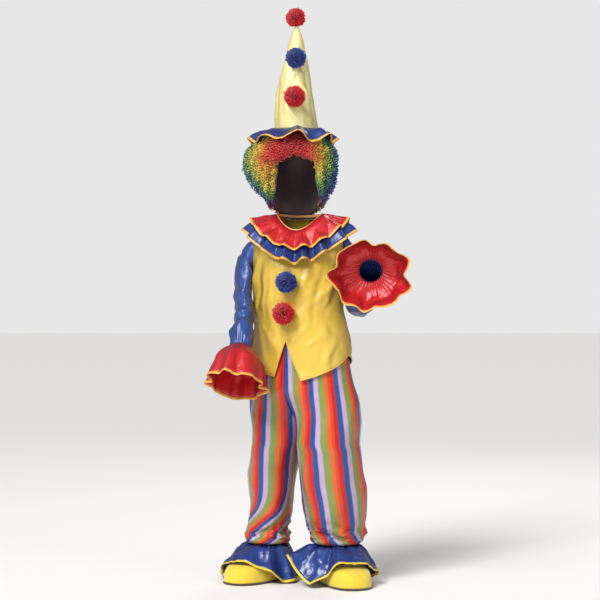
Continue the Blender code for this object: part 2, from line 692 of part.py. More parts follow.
def add_neck_binding():
    angles = np.arange(COLLAR_COLUMNS // 2) * 4 * math.pi / COLLAR_COLUMNS
    outward = np.stack([np.sin(angles), -np.cos(angles), 0 * angles], -1)
    edge = neckline(angles) + np.array([0.0, 0.0, NECK_BAND_LIFT])
    near = edge + outward * (COLLAR_START - SEAM_GAP * 1.3)
    far = near - outward * NECK_BAND_THICKNESS
    up = np.array([0.0, 0.0, NECK_BAND_HEIGHT])
    add_bar("neck_binding", np.stack([near, near + up, far + up, far]), "neck_gold", True)


def add_hem_binding(name, facing):
    outer, inner = TUNIC_WALLS[facing]
    add_binding(name, outer[:2][::-1], inner[:2][::-1], "tunic_yellow", False, 0.0035)


# Turns an icosphere into a pompom: a round head flattened against the cloth, with short tufts
def add_pompom(name, centre, away, radius, colour):
    mesh = bpy.data.meshes.new(name)
    made = bpy.data.objects.new(name, mesh)
    bpy.context.scene.collection.objects.link(made)
    made.parent = bpy.data.objects["costume"]
    mesh.materials.append(principled(name, colour))
    form = bmesh.new()
    bmesh.ops.create_icosphere(form, subdivisions=2, radius=radius - POMPOM_TUFT)
    tufted = [face for number, face in enumerate(form.faces) if number % 5 == 0]
    for face in tufted:
        if face.calc_center_median().dot(away) < -0.3 * radius:
            continue
        top = bmesh.ops.extrude_discrete_faces(form, faces=[face])["faces"][0]
        middle = top.calc_center_median()
        for vert in top.verts:
            vert.co = middle + (vert.co - middle) * 0.55 + middle.normalized() * POMPOM_TUFT
    for vert in form.verts:
        below = vert.co.dot(away) + POMPOM_FLAT * radius
        if below < 0:
            vert.co -= away * below
        vert.co += centre
    form.to_mesh(mesh)
    form.free()
    return made


# Rings of one trouser leg from the waist down. The shares run from the front seam round the outer
# side to the back seam, and below the fork from the inseam round to itself.
def leg_rings(sign, leg, shares):
    half_name = "left" if sign > 0 else "right"
    full = shares * 2 * math.pi
    size_side, size_front = leg["side"][-1], leg["front"][-1]
    rings = []
    for z in HIP_LEVELS + (CROTCH_Z,):
        fork = ease((FORK_TOP_Z - z) / (FORK_TOP_Z - CROTCH_Z))
        half_turn = shares * math.pi
        depth = np.where(half_turn < math.pi / 2, along(HIP_SECTIONS, "front", z),
                         along(HIP_SECTIONS, "back", z))
        wide = along(HIP_SECTIONS, half_name, z) * np.sin(half_turn)
        deep = depth * np.cos(half_turn)
        wide = wide + (size_side * (1 - np.cos(full)) - wide) * fork + SEAM_GAP / 2
        deep = deep + (size_front * np.sin(full) - deep) * fork
        side, front = turned(along(HIP_SECTIONS, "turn", z))
        centre = np.array([along(HIP_SECTIONS, "centre_x", z), 0.0, z])
        rings.append(centre + sign * np.outer(wide, side) + np.outer(deep, front))
    for row in range(len(leg["z"]) - 2, -1, -1):
        side, front = turned(leg["turn"][row])
        centre = np.array([leg["centre_x"][row], leg["centre_y"][row], leg["z"][row]])
        rings.append(centre - sign * leg["side"][row] * np.outer(np.cos(full), side)
                     + leg["front"][row] * np.outer(np.sin(full), front))
    return np.array(rings)


def add_leg(name, sign, leg):
    shares = np.linspace(0, 1, LEG_COLUMNS + 1)
    outer = leg_rings(sign, leg, shares)
    crotch_row = len(HIP_LEVELS)
    outer[crotch_row:, -1] = outer[crotch_row:, 0]
    inside = outer.mean(1, keepdims=True)
    joined = normals(outer[:, :-1], inside, True)
    facing = normals(outer, inside, False)
    facing[crotch_row:] = closed_grid(joined)[crotch_row:]
    side, _ = turned(along(HIP_SECTIONS, "turn", outer[:crotch_row, :1, 2]))
    edges = facing[:crotch_row, [0, -1]]
    facing[:crotch_row, [0, -1]] = unit(edges - (edges * side).sum(-1, keepdims=True) * side)
    facing[0, :, 2] = 0.0
    facing[0] = unit(facing[0])
    inner = outer - TROUSER_WALL * facing
    inner[-1] = outer[-1] + np.array([0.0, 0.0, TROUSER_WALL])
    add_wall(name, outer, inner, "stripe_red", crotch_row)


def add_waistband():
    angle = np.arange(2 * LEG_COLUMNS) * math.pi / LEG_COLUMNS
    half = along(HIP_SECTIONS, "left", WAIST_Z)
    depth = np.where(np.cos(angle) > 0, along(HIP_SECTIONS, "front", WAIST_Z),
                     along(HIP_SECTIONS, "back", WAIST_Z))
    side, front = turned(along(HIP_SECTIONS, "turn", WAIST_Z))
    centre = np.array([along(HIP_SECTIONS, "centre_x", WAIST_Z), 0.0, WAIST_Z])
    ring = centre + np.outer(half * np.sin(angle), side) + np.outer(depth * np.cos(angle), front)
    inner = ring - TROUSER_WALL * unit(ring - centre)
    up = np.array([0.0, 0.0, WAISTBAND_HEIGHT])
    add_bar("trouser_waistband", np.stack([ring, ring + up, inner + up, inner]), "waist_white", True)


# Ankle ruffle: a short neck round the ankle, then the flare down to its uneven hem
def add_ankle_ruffle(side, ankle):
    angles = np.arange(ANKLE_COLUMNS) * 2 * math.pi / ANKLE_COLUMNS - math.pi
    degrees = np.degrees(angles)
    hem = ankle["hem"]
    reach = curve(hem["towards"], hem["reach"], degrees)
    hem_z = curve(hem["towards"], hem["z"], degrees)
    free = curve(hem["towards"], hem["swing"], degrees)
    outward = np.stack([np.sin(angles), -np.cos(angles), 0 * angles], -1)
    top = np.array([*ankle["centre"], ankle["gather_z"] + 0.003])
    out = ANKLE_START + np.outer(ANKLE_ROWS["out"], reach - ANKLE_START)
    z = np.outer(1 - ANKLE_ROWS["down"], np.ones(ANKLE_COLUMNS)) * -ANKLE_NECK
    z = z + np.outer(ANKLE_ROWS["down"], hem_z - top[2])
    z[0] = 0.0
    mean = top + outward * out[..., None] + z[..., None] * np.array([0.0, 0.0, 1.0])
    inside = top - np.array([0.0, 0.0, 0.2])
    wave = np.sin(ANKLE_WAVES * angles + 0.9) * uneven(angles, ANKLE_WAVES, 2.1) * free
    swing = np.outer(ANKLE_SWING * ANKLE_ROWS["swing"], wave)
    outer = mean + swing[..., None] * normals(mean, inside, True)
    inner = inner_points(outer, RUFFLE_WALL, inside, np.array([0.0, 0.0, 1.0]))
    name = "ankle_ruffle_" + side
    add_wall(name, closed_grid(outer), closed_grid(inner), "collar_blue", 0)
    add_binding("ankle_binding_" + side, outer, inner, "ankle_gold")


# Sole outline round one foot, in the floor plane, from the toe round
def foot_outline(ankle, margin):
    angle = np.arange(COVER_COLUMNS) * 2 * math.pi / COVER_COLUMNS
    towards = math.radians(ankle["toe_out"])
    forward = np.array([math.sin(towards), -math.cos(towards), 0.0])
    across = np.array([math.cos(towards), math.sin(towards), 0.0])
    middle = (FOOT_TOE + FOOT_HEEL) / 2
    half_length = (FOOT_TOE - FOOT_HEEL) / 2 + margin
    lengthwise = middle + half_length * np.sign(np.cos(angle)) * abs(np.cos(angle)) ** 0.85
    widthwise = ((FOOT_HALF_WIDTH + margin) * np.sign(np.sin(angle)) * abs(np.sin(angle)) ** 0.85
                 * (1 + 0.14 * np.cos(angle)))
    centre = np.array([*ankle["centre"], 0.0])
    ring = centre + COVER_ANKLE * (np.outer(np.cos(angle), forward) + np.outer(np.sin(angle), across))
    outline = centre + np.outer(lengthwise, forward) + np.outer(widthwise, across)
    return ring, outline


def add_shoe(side, ankle):
    ring, outline = foot_outline(ankle, 0.0)
    up = np.array([0.0, 0.0, 1.0])
    foot_z = FLOOR_Z + SOLE_THICKNESS + SEAM_GAP
    rows = [ring + up * (ankle["gather_z"] + COVER_TOP)]
    for spread, height in zip(COVER_ROWS["spread"], COVER_ROWS["height"]):
        rows.append(ring + (outline - ring) * spread + up * (foot_z + height))
    outer = np.array(rows)
    inner = inner_points(outer, SATIN_WALL, outer.mean(1, keepdims=True), up, up)
    add_wall("shoe_cover_" + side, closed_grid(outer), closed_grid(inner), "shoe_yellow", 0)
    _, edge = foot_outline(ankle, SOLE_MARGIN)
    count = len(edge)
    low, high = edge + up * FLOOR_Z, edge + up * (FLOOR_Z + SOLE_THICKNESS)
    ids = np.arange(count)
    loop = np.concatenate([ids, ids[:1]])
    fan = np.stack([np.zeros(count - 2, int), ids[1:-1], ids[2:]], -1)
    faces = np.concatenate([cells(loop, loop + count), fan[:, ::-1], fan + count])
    add_object("shoe_sole_" + side, np.concatenate([low, high]), faces, "sole_brown")


def hat_point(z, angles, extra=0.0):
    radius = along(HAT_SECTIONS, "radius", z) + extra
    x = along(HAT_SECTIONS, "centre_x", z)
    return np.stack([x + radius * np.sin(angles), -radius * np.cos(angles), z + 0 * angles], -1)


def add_hat():
    angles = np.arange(HAT_COLUMNS) * 2 * math.pi / HAT_COLUMNS
    outer = np.array([hat_point(z, angles) for z in HAT_SECTIONS["z"]])
    up = np.array([0.0, 0.0, 1.0])
    inner = inner_points(outer, HAT_WALL, outer.mean(1, keepdims=True), up, up)
    add_wall("hat_cone", closed_grid(outer), closed_grid(inner), "hat_cream", 0)
    angles = np.arange(BRIM_COLUMNS) * 2 * math.pi / BRIM_COLUMNS
    outward = np.stack([np.sin(angles), -np.cos(angles), 0 * angles], -1)
    width = BRIM_WIDTH * (1 - 0.17 * np.sin(angles))
    wave = np.sin(BRIM_WAVES * angles + 1.2) * uneven(angles, BRIM_WAVES, 0.3)
    base = np.array([HEAD_X, 0.0, HAT_SECTIONS["z"][0] + RUFFLE_WALL])
    out = BRIM_START + np.outer(BRIM_ROWS["out"], width)
    down = np.outer(BRIM_ROWS["down"], np.ones(BRIM_COLUMNS))
    mean = base + outward * out[..., None] - up * down[..., None]
    below = base - up * 0.3
    swing = np.outer(BRIM_SWING * BRIM_ROWS["swing"], wave)
    outer = mean + swing[..., None] * normals(mean, below, True)
    inner = inner_points(outer, RUFFLE_WALL, below)
    inner[0] = outer[0] - up * RUFFLE_WALL
    add_wall("hat_brim", closed_grid(outer), closed_grid(inner), "collar_blue", 0)
    add_binding("hat_brim_binding", outer, inner, "edge_gold")


# Where a pompom sits and the direction it points
def pompom_seat(name):
    place = POMPOM_PLACES[name]
    if name == "hat_pompom_top":
        seat = np.array([HAT_SECTIONS["centre_x"][-1] - 0.002, 0.0, HAT_SECTIONS["z"][-1]])
        return seat, np.array([-0.1, 0.0, 0.995])
    step = 0.004
    if name.startswith("hat"):
        z = place["height"]
        seat = hat_point(z, np.zeros(1))[0]
        rise = hat_point(z + step, np.zeros(1))[0] - hat_point(z - step, np.zeros(1))[0]
        return seat, unit(np.cross(np.array([1.0, 0.0, 0.0]), rise))
    across = place["across"] + np.array([-0.03, 0.0, 0.03])
    foot = np.interp(place["across"], FRONT_HEM["across"], FRONT_HEM["z"])
    level = (place["height"] - foot) / (CHEST_Z - foot)
    points = tunic_panel(1, across, level + np.array([-0.02, 0.0, 0.02]))[0]
    away = unit(np.cross(points[1, 2] - points[1, 0], points[2, 1] - points[0, 1]))
    return points[1, 1], away


def add_pompoms():
    for name, place in POMPOM_PLACES.items():
        seat, away = pompom_seat(name)
        centre = seat + away * (place["radius"] * POMPOM_FLAT + POMPOM_GAP)
        add_pompom(name, Vector(centre), Vector(away).normalized(), place["radius"], place["colour"])


# One ring of the wig at the given heights, with its centre moved to the hair's own middle
def wig_ring(sections, z, angles, extra=0.0):
    depth = np.where(np.cos(angles) > 0, along(sections, "front", z), along(sections, "back", z))
    x = along(sections, "centre_x", z) + (along(sections, "side", z) + extra) * np.sin(angles)
    y = -(depth + extra) * np.cos(angles)
    return np.stack([x, y, z], -1)


def add_wig():
    angles = np.arange(WIG_COLUMNS) * 2 * math.pi / WIG_COLUMNS
    degrees = (np.degrees(angles) + 180) % 360 - 180
    rim = np.interp(degrees, WIG_RIM["towards"], WIG_RIM["z"])
    flat = np.ones(WIG_COLUMNS)
    rows = [wig_ring(WIG_OUTER, 0.2330 * flat, angles), wig_ring(WIG_OUTER, WIG_HAT_Z * flat, angles)]
    for number, share in enumerate(WIG_SHARES, 1):
        z = WIG_HAT_Z + (rim + WIG_ROUND - WIG_HAT_Z) * share
        lump = WIG_CURL * (-1.0) ** (np.arange(WIG_COLUMNS) + number)
        lump = lump * ease((0.200 - z) / 0.03) * ease((z - rim) / 0.03)
        rows.append(wig_ring(WIG_OUTER, z, angles, lump))
    inner_rows = [wig_ring(HEAD_SPACE, rim + WIG_ROUND + (0.206 - rim - WIG_ROUND) * share, angles)
                  for share in (0.0, 0.3, 0.6, 0.85, 1.0)]
    middle = (rows[-1] + inner_rows[0]) / 2
    middle[:, 2] = rim
    rows = np.array(rows + [middle] + inner_rows)
    count, columns = rows.shape[:2]
    ids = np.arange(count * columns).reshape(count, columns)
    ids = np.concatenate([ids, ids[:, :1]], 1)
    faces = [cells(ids[row], ids[row + 1]) for row in range(count - 1)]
    top, hollow = count * columns, count * columns + 1
    faces.append(np.stack([ids[0, 1:], ids[0, :-1], np.full(columns, top)], -1))
    faces.append(np.stack([ids[-1, :-1], ids[-1, 1:], np.full(columns, hollow)], -1))
    poles = [[HEAD_X, 0.0, WIG_OUTER["z"][-1]], [HEAD_X, 0.0, HEAD_SPACE["z"][-1]]]
    points = np.concatenate([rows.reshape(-1, 3), poles])
    add_object("wig", points, np.concatenate(faces), "wig_orange")


def clear_scene():
    for made in list(bpy.data.objects):
        bpy.data.objects.remove(made)


def add_tunic():
    add_wall("tunic_front", *TUNIC_WALLS[1], "tunic_yellow", len(TUNIC_LEVELS))
    add_wall("tunic_back", *TUNIC_WALLS[-1], "tunic_yellow", len(TUNIC_LEVELS))
    add_hem_binding("hem_binding_front", 1)
    add_hem_binding("hem_binding_back", -1)
    add_neck_binding()
    add_collar("collar_red", RED_COLLAR_ROWS, RED_COLLAR_LIFT, RED_COLLAR_RISE)
    add_collar("collar_blue", BLUE_COLLAR_ROWS, BLUE_COLLAR_LIFT, 0.0)
    add_sleeve("sleeve_right", -1, RIGHT_SLEEVE, CUFFS["right"])
    add_sleeve("sleeve_left", 1, LEFT_SLEEVE, CUFFS["left"])
    for side, cuff in CUFFS.items():
        add_cuff(side, cuff)


def add_trousers():
    add_waistband()
    add_leg("trouser_leg_right", -1, RIGHT_LEG)
    add_leg("trouser_leg_left", 1, LEFT_LEG)
    for side, ankle in ANKLES.items():
        add_ankle_ruffle(side, ankle)
        add_shoe(side, ankle)


TUNIC_WALLS = {1: tunic_wall(1, FRONT_COLUMNS, TUNIC_LEVELS),
               -1: tunic_wall(-1, BACK_COLUMNS, TUNIC_LEVELS)}
clear_scene()
costume = bpy.data.objects.new("costume", None)
bpy.context.scene.collection.objects.link(costume)
add_tunic()
add_trousers()
add_hat()
add_wig()
add_pompoms()
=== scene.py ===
import math
import bpy
import numpy as np
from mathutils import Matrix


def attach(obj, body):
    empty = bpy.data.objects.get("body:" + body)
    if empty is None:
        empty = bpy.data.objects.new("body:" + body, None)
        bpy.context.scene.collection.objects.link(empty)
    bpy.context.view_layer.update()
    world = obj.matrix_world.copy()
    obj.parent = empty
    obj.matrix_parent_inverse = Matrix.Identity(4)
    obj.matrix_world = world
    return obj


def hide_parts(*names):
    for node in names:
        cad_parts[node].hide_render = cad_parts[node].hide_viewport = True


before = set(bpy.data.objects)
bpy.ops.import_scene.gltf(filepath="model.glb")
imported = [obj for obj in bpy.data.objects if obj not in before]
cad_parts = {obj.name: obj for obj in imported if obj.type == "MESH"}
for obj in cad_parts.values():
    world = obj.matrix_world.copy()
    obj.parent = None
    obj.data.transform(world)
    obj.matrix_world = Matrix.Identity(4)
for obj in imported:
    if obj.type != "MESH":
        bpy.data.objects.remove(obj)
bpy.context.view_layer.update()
print("frame loaded")


def table(names, *rows):
    return dict(zip(names.split(), np.array(rows, float).T))


floorZ = -0.882
seamGap = 0.0003
ruffleWall = 0.0012
bindingWidth = 0.0055

neckHalf = 0.0555
neckShare = 0.54
neckSideZ = 0.013
tipHalf = 0.104
tipZ = -0.022
chestZ = -0.090
underarmLevel = 0.849
neckDepth = {1: 0.052, -1: 0.050}
neckCentreZ = {1: -0.029, -1: 0.010}
armholeDepth = {1: 0.026, -1: 0.030}

collarWaves = 15
collarSwing = 0.0125
redCollarRows = (0.0, 0.020, 0.042, 0.068)
blueCollarRows = (0.0, 0.020, 0.042, 0.068, 0.096)
collarStart = 0.0018
neckBandHeight = 0.0070
neckBandLift = 0.0022
neckBandThickness = 0.0024
collarSideCut = 0.10
collarSag = 0.0024
redCollarLift = 0.0063
redCollarRise = 11.5
blueCollarLift = 0.0041

brimStart = 0.0541
brimWidth = 0.0525
brimWaves = 8
brimSwing = 0.0100
headX = -0.0085
pompomGap = 0.0006
pompomFlat = 0.80

waistZ = -0.235
waistbandHeight = 0.026
forkTopZ = -0.400
crotchZ = -0.541
ankleWaves = 10
ankleStart = 0.0365
ankleSwing = 0.0085
ankleNeck = 0.0140
coverTop = 0.0040

coverAnkle = 0.0346
soleThickness = 0.0050
soleMargin = 0.0015
footHeel = -0.055
footToe = 0.135
footHalfWidth = 0.050


tunicSections = table(
    "z centreX halfWidth front back turn",
    (-0.385, 0.006, 0.139, 0.0995, 0.0935, 30.0),
    (-0.35, 0.006, 0.132, 0.098, 0.092, 29.5),
    (-0.32, 0.006, 0.127, 0.097, 0.09, 29.0),
    (-0.29, 0.006, 0.1245, 0.096, 0.088, 28.0),
    (-0.25, 0.003, 0.118, 0.094, 0.085, 26.5),
    (-0.22, -0.001, 0.1125, 0.093, 0.083, 25.0),
    (-0.17, -0.001, 0.113, 0.093, 0.082, 21.0),
    (-0.125, 0.0, 0.1175, 0.09, 0.082, 16.0),
    (-0.09, 0.0, 0.112, 0.084, 0.079, 13.0),
    (0.02, 0.0, 0.104, 0.052, 0.05, 9.0),
)
tunicLevels = np.array([0.0, 0.13, 0.28, 0.43, 0.57, 0.71, underarmLevel, 1.0,
                         1.17, 1.33, 1.50, 1.67, 1.83, 2.0])
underarmRow = 6

frontHem = table(
    "across z",
    (-1.0, -0.322),
    (-0.7, -0.343),
    (-0.3, -0.364),
    (-0.11, -0.3725),
    (0.02, -0.2866),
    (0.229, -0.381),
    (0.38, -0.3724),
    (0.63, -0.3545),
    (0.8, -0.3405),
    (1.0, -0.3216),
)
backHem = table(
    "across z",
    (-1.0, -0.322),
    (-0.5, -0.35),
    (0.0, -0.362),
    (0.5, -0.35),
    (1.0, -0.3216),
)

rightSleeve = table(
    "underX underY underZ overX overY overZ depth",
    (-0.125, 0.031, -0.131, -0.137, 0.022, -0.062, 0.031),
    (-0.1225, 0.031, -0.14, -0.151, 0.024, -0.088, 0.036),
    (-0.122, 0.026, -0.158, -0.159, 0.019, -0.125, 0.038),
    (-0.119, 0.014, -0.18, -0.1605, 0.01, -0.165, 0.04),
    (-0.115, 0.002, -0.205, -0.1625, -0.001, -0.197, 0.039),
    (-0.115, -0.01, -0.224, -0.156, -0.013, -0.216, 0.036),
    (-0.112, -0.022, -0.242, -0.1615, -0.025, -0.236, 0.038),
    (-0.115, -0.033, -0.256, -0.1565, -0.036, -0.251, 0.034),
    (-0.11, -0.047, -0.274, -0.169, -0.05, -0.27, 0.037),
    (-0.113, -0.061, -0.291, -0.168, -0.065, -0.29, 0.032),
)
leftSleeve = table(
    "underX underY underZ overX overY overZ depth",
    (0.123, -0.033, -0.131, 0.136, -0.023, -0.062, 0.031),
    (0.1225, -0.033, -0.14, 0.15, -0.024, -0.088, 0.036),
    (0.1225, -0.03, -0.155, 0.16, -0.018, -0.125, 0.037),
    (0.12, -0.016, -0.172, 0.166, -0.002, -0.158, 0.038),
    (0.115, -0.02, -0.192, 0.169, -0.008, -0.184, 0.036),
    (0.111, -0.042, -0.203, 0.173, -0.036, -0.2, 0.032),
    (0.1065, -0.072, -0.197, 0.179, -0.068, -0.19, 0.034),
    (0.112, -0.094, -0.176, 0.183, -0.086, -0.167, 0.034),
    (0.122, -0.117, -0.153, 0.187, -0.107, -0.145, 0.032),
    (0.135, -0.137, -0.134, 0.193, -0.13, -0.126, 0.0285),
)
sleeveEndRadius = 0.0275

cuffs = {
    "right": {
        "wrist": (-0.1418, -0.0750, -0.3066),
        "rim": (-0.1522, -0.1180, -0.3907),
        "halfWide": 0.067,
        "halfTall": 0.079,
        "phase": 0.4,
    },
    "left": {
        "wrist": (0.1665, -0.1570, -0.1215),
        "rim": (0.1625, -0.2100, -0.1340),
        "halfWide": 0.090,
        "halfTall": 0.080,
        "phase": 1.9,
    },
}
cuffWaves = 9
cuffSwing = 0.0100
cuffStart = 0.0275
cuffRows = table(
    "share out along",
    (0.0, 0.0, 0.0),
    (0.5, 0.66, 0.36),
    (1.0, 1.0, 1.0),
)

hipSections = table(
    "z centreX right left front back turn",
    (-0.56, 0.006, 0.14, 0.152, 0.09, 0.088, 29.0),
    (-0.47, 0.006, 0.145, 0.156, 0.093, 0.088, 29.0),
    (-0.43, 0.006, 0.144, 0.149, 0.0935, 0.088, 29.5),
    (-0.385, 0.006, 0.133, 0.1345, 0.0935, 0.0875, 30.0),
    (-0.35, 0.006, 0.1265, 0.1265, 0.092, 0.086, 29.5),
    (-0.32, 0.006, 0.1215, 0.1215, 0.091, 0.084, 29.0),
    (-0.29, 0.006, 0.119, 0.119, 0.09, 0.082, 28.0),
    (-0.25, 0.003, 0.1108, 0.1108, 0.0873, 0.0783, 26.5),
    (-0.2, -0.001, 0.1008, 0.1008, 0.0808, 0.0708, 23.5),
)
rightLeg = table(
    "z centreX centreY side front turn",
    (-0.782, -0.08, 0.055, 0.038, 0.038, 10.0),
    (-0.7905, -0.08, 0.055, 0.047, 0.047, 10.0),
    (-0.786, -0.079, 0.055, 0.056, 0.058, 10.0),
    (-0.764, -0.0805, 0.055, 0.0545, 0.06, 10.0),
    (-0.745, -0.077, 0.053, 0.0545, 0.061, 12.0),
    (-0.703, -0.071, 0.048, 0.0545, 0.064, 15.0),
    (-0.656, -0.0705, 0.042, 0.057, 0.068, 20.0),
    (-0.6, -0.063, 0.036, 0.06, 0.075, 26.0),
    (-0.541, -0.0484, 0.0302, 0.062, 0.085, 29.0),
)
leftLeg = table(
    "z centreX centreY side front turn",
    (-0.775, 0.0895, 0.0, 0.038, 0.038, 10.0),
    (-0.7845, 0.0895, 0.0, 0.05, 0.05, 10.0),
    (-0.781, 0.09, -0.001, 0.064, 0.062, 10.0),
    (-0.762, 0.091, -0.004, 0.0725, 0.068, 10.0),
    (-0.742, 0.09, -0.008, 0.075, 0.07, 12.0),
    (-0.703, 0.0865, -0.015, 0.0805, 0.074, 15.0),
    (-0.656, 0.0855, -0.024, 0.082, 0.079, 20.0),
    (-0.6, 0.08, -0.033, 0.078, 0.083, 26.0),
    (-0.541, 0.0718, -0.0365, 0.075, 0.085, 29.0),
)
hipLevels = (waistZ - seamGap, -0.262, -0.291, -0.325, -0.360, -0.395, -0.430, -0.470, -0.508)

rightAnkleHem = table(
    "towards reach z swing",
    (-180.0, 0.1, -0.86, 1.0),
    (-135.0, 0.105, -0.862, 1.0),
    (-90.0, 0.116, -0.866, 0.8),
    (-62.0, 0.114, -0.834, 0.3),
    (-40.0, 0.111, -0.822, 0.2),
    (-7.0, 0.101, -0.838, 0.3),
    (14.0, 0.1, -0.858, 0.7),
    (27.0, 0.098, -0.87, 0.8),
    (50.0, 0.094, -0.871, 0.8),
    (90.0, 0.074, -0.866, 0.8),
    (135.0, 0.092, -0.862, 1.0),
    (180.0, 0.1, -0.86, 1.0),
)
leftAnkleHem = table(
    "towards reach z swing",
    (-180.0, 0.095, -0.86, 1.0),
    (-135.0, 0.082, -0.858, 1.0),
    (-98.0, 0.076, -0.846, 0.7),
    (-64.0, 0.128, -0.812, 0.5),
    (-51.0, 0.121, -0.839, 0.6),
    (-38.0, 0.11, -0.868, 0.8),
    (-18.0, 0.101, -0.846, 0.5),
    (0.0, 0.102, -0.819, 0.2),
    (16.0, 0.103, -0.817, 0.2),
    (36.0, 0.105, -0.821, 0.2),
    (58.0, 0.11, -0.837, 0.4),
    (90.0, 0.092, -0.862, 1.0),
    (135.0, 0.095, -0.86, 1.0),
    (180.0, 0.095, -0.86, 1.0),
)
ankles = {
    "right": {"centre": (-0.0800, 0.0550), "gatherZ": -0.782, "hem": rightAnkleHem,
              "toeOut": -42.0},
    "left": {"centre": (0.0895, 0.0000), "gatherZ": -0.775, "hem": leftAnkleHem,
             "toeOut": 24.0},
}
ankleRows = table(
    "swing out down",
    (0.0, 0.0, 0.0),
    (0.0, 0.01, 0.0),
    (0.45, 0.45, 0.14),
    (1.0, 1.0, 1.0),
)
brimRows = table(
    "swing out down",
    (0.0, 0.0, 0.0),
    (0.45, 0.5, 0.006),
    (1.0, 0.96, 0.024),
)

coverRows = table(
    "spread height",
    (0.0, 0.078),
    (0.2, 0.058),
    (0.52, 0.046),
    (0.84, 0.0365),
    (0.97, 0.021),
    (1.0, 0.0),
)

hatSections = table(
    "z centreX radius",
    (0.225, -0.0085, 0.0535),
    (0.27, -0.012, 0.0495),
    (0.315, -0.0135, 0.0445),
    (0.36, -0.0115, 0.036),
    (0.405, -0.01, 0.027),
    (0.445, -0.0085, 0.0165),
    (0.47, -0.0078, 0.0085),
    (0.481, -0.0072, 0.0038),
)
pompomPlaces = {
    "hat_pompom_top": {"radius": 0.0235, "colour": "pompom_red"},
    "hat_pompom_middle": {"radius": 0.0240, "colour": "pompom_blue", "height": 0.391},
    "hat_pompom_lower": {"radius": 0.0255, "colour": "pompom_red", "height": 0.297},
    "chest_pompom_blue": {"radius": 0.0250, "colour": "pompom_blue", "height": -0.150,
                          "across": 0.02},
    "chest_pompom_red": {"radius": 0.0260, "colour": "pompom_red", "height": -0.2232,
                         "across": 0.05},
}

wigOuter = table(
    "z centreX side front back",
    (0.0, -0.009, 0.056, 0.056, 0.072),
    (0.03, -0.009, 0.062, 0.062, 0.09),
    (0.05, -0.009, 0.069, 0.07, 0.102),
    (0.075, -0.014, 0.093, 0.084, 0.116),
    (0.11, -0.02, 0.112, 0.098, 0.124),
    (0.15, -0.023, 0.118, 0.106, 0.119),
    (0.175, -0.022, 0.113, 0.104, 0.106),
    (0.195, -0.016, 0.093, 0.088, 0.087),
    (0.212, -0.011, 0.072, 0.07, 0.074),
    (0.2238, -0.0085, 0.0535, 0.0535, 0.0535),
    (0.233, -0.0085, 0.03, 0.03, 0.03),
    (0.236, -0.0085, 0.0, 0.0, 0.0),
)
headSpace = table(
    "z centreX side front back",
    (0.0, -0.009, 0.054, 0.054, 0.056),
    (0.03, -0.009, 0.056, 0.056, 0.06),
    (0.06, -0.009, 0.06, 0.062, 0.07),
    (0.1, -0.009, 0.068, 0.072, 0.086),
    (0.14, -0.009, 0.07, 0.078, 0.088),
    (0.175, -0.009, 0.062, 0.068, 0.074),
    (0.198, -0.009, 0.042, 0.044, 0.046),
    (0.208, -0.009, 0.02, 0.02, 0.02),
    (0.211, -0.009, 0.0, 0.0, 0.0),
)
wigRim = table(
    "towards z",
    (-180.0, 0.0082),
    (-140.0, 0.018),
    (-95.0, 0.042),
    (-60.0, 0.05),
    (-46.0, 0.07),
    (-36.0, 0.135),
    (0.0, 0.156),
    (36.0, 0.138),
    (46.0, 0.075),
    (60.0, 0.054),
    (95.0, 0.042),
    (140.0, 0.018),
    (180.0, 0.0082),
)
wigRound = 0.012
wigHatZ = 0.2238


def curve(places, values, wanted):
    slopes = np.gradient(values, places)
    wanted = np.clip(wanted, places[0], places[-1])
    at = np.clip(np.searchsorted(places, wanted) - 1, 0, len(places) - 2)
    span = places[at + 1] - places[at]
    t = (wanted - places[at]) / span
    return ((1 + 2 * t) * (1 - t) ** 2 * values[at] + t * (1 - t) ** 2 * span * slopes[at]
            + t * t * (3 - 2 * t) * values[at + 1] + t * t * (t - 1) * span * slopes[at + 1])


def along(sections, name, z):
    return curve(sections["z"], sections[name], z)


def ease(x):
    x = np.clip(x, 0.0, 1.0)
    return x * x * (3 - 2 * x)


def unit(vectors):
    return vectors / np.linalg.norm(vectors, axis=-1, keepdims=True)


def lengths(grid, axis):  # distance from each point to the next
    return np.linalg.norm(np.diff(grid, axis=axis), axis=-1)


def ringAngles(count, first=0.0):
    return np.arange(count) * 2 * math.pi / count + first


def outwardOf(angles):
    return np.stack([np.sin(angles), -np.cos(angles), 0 * angles], -1)


upward = np.array([0.0, 0.0, 1.0])


def turned(degrees):
    turn = np.radians(degrees)
    side = np.stack([np.cos(turn), -np.sin(turn), 0 * turn], -1)
    front = np.stack([-np.sin(turn), -np.cos(turn), 0 * turn], -1)
    return side, front


def normals(grid, inside, closed):
    if closed:
        around = np.roll(grid, -1, 1) - np.roll(grid, 1, 1)
    else:
        around = np.gradient(grid, axis=1)
    lengthwise = np.gradient(grid, axis=0)
    found = unit(np.cross(lengthwise, around))
    return found if (found * (grid - inside)).sum() > 0 else -found


def uneven(angles, waves, phase):
    return 1 + 0.22 * np.sin(angles * 2 + phase) + 0.16 * np.sin(angles * (waves // 2) + 1.3 * phase)


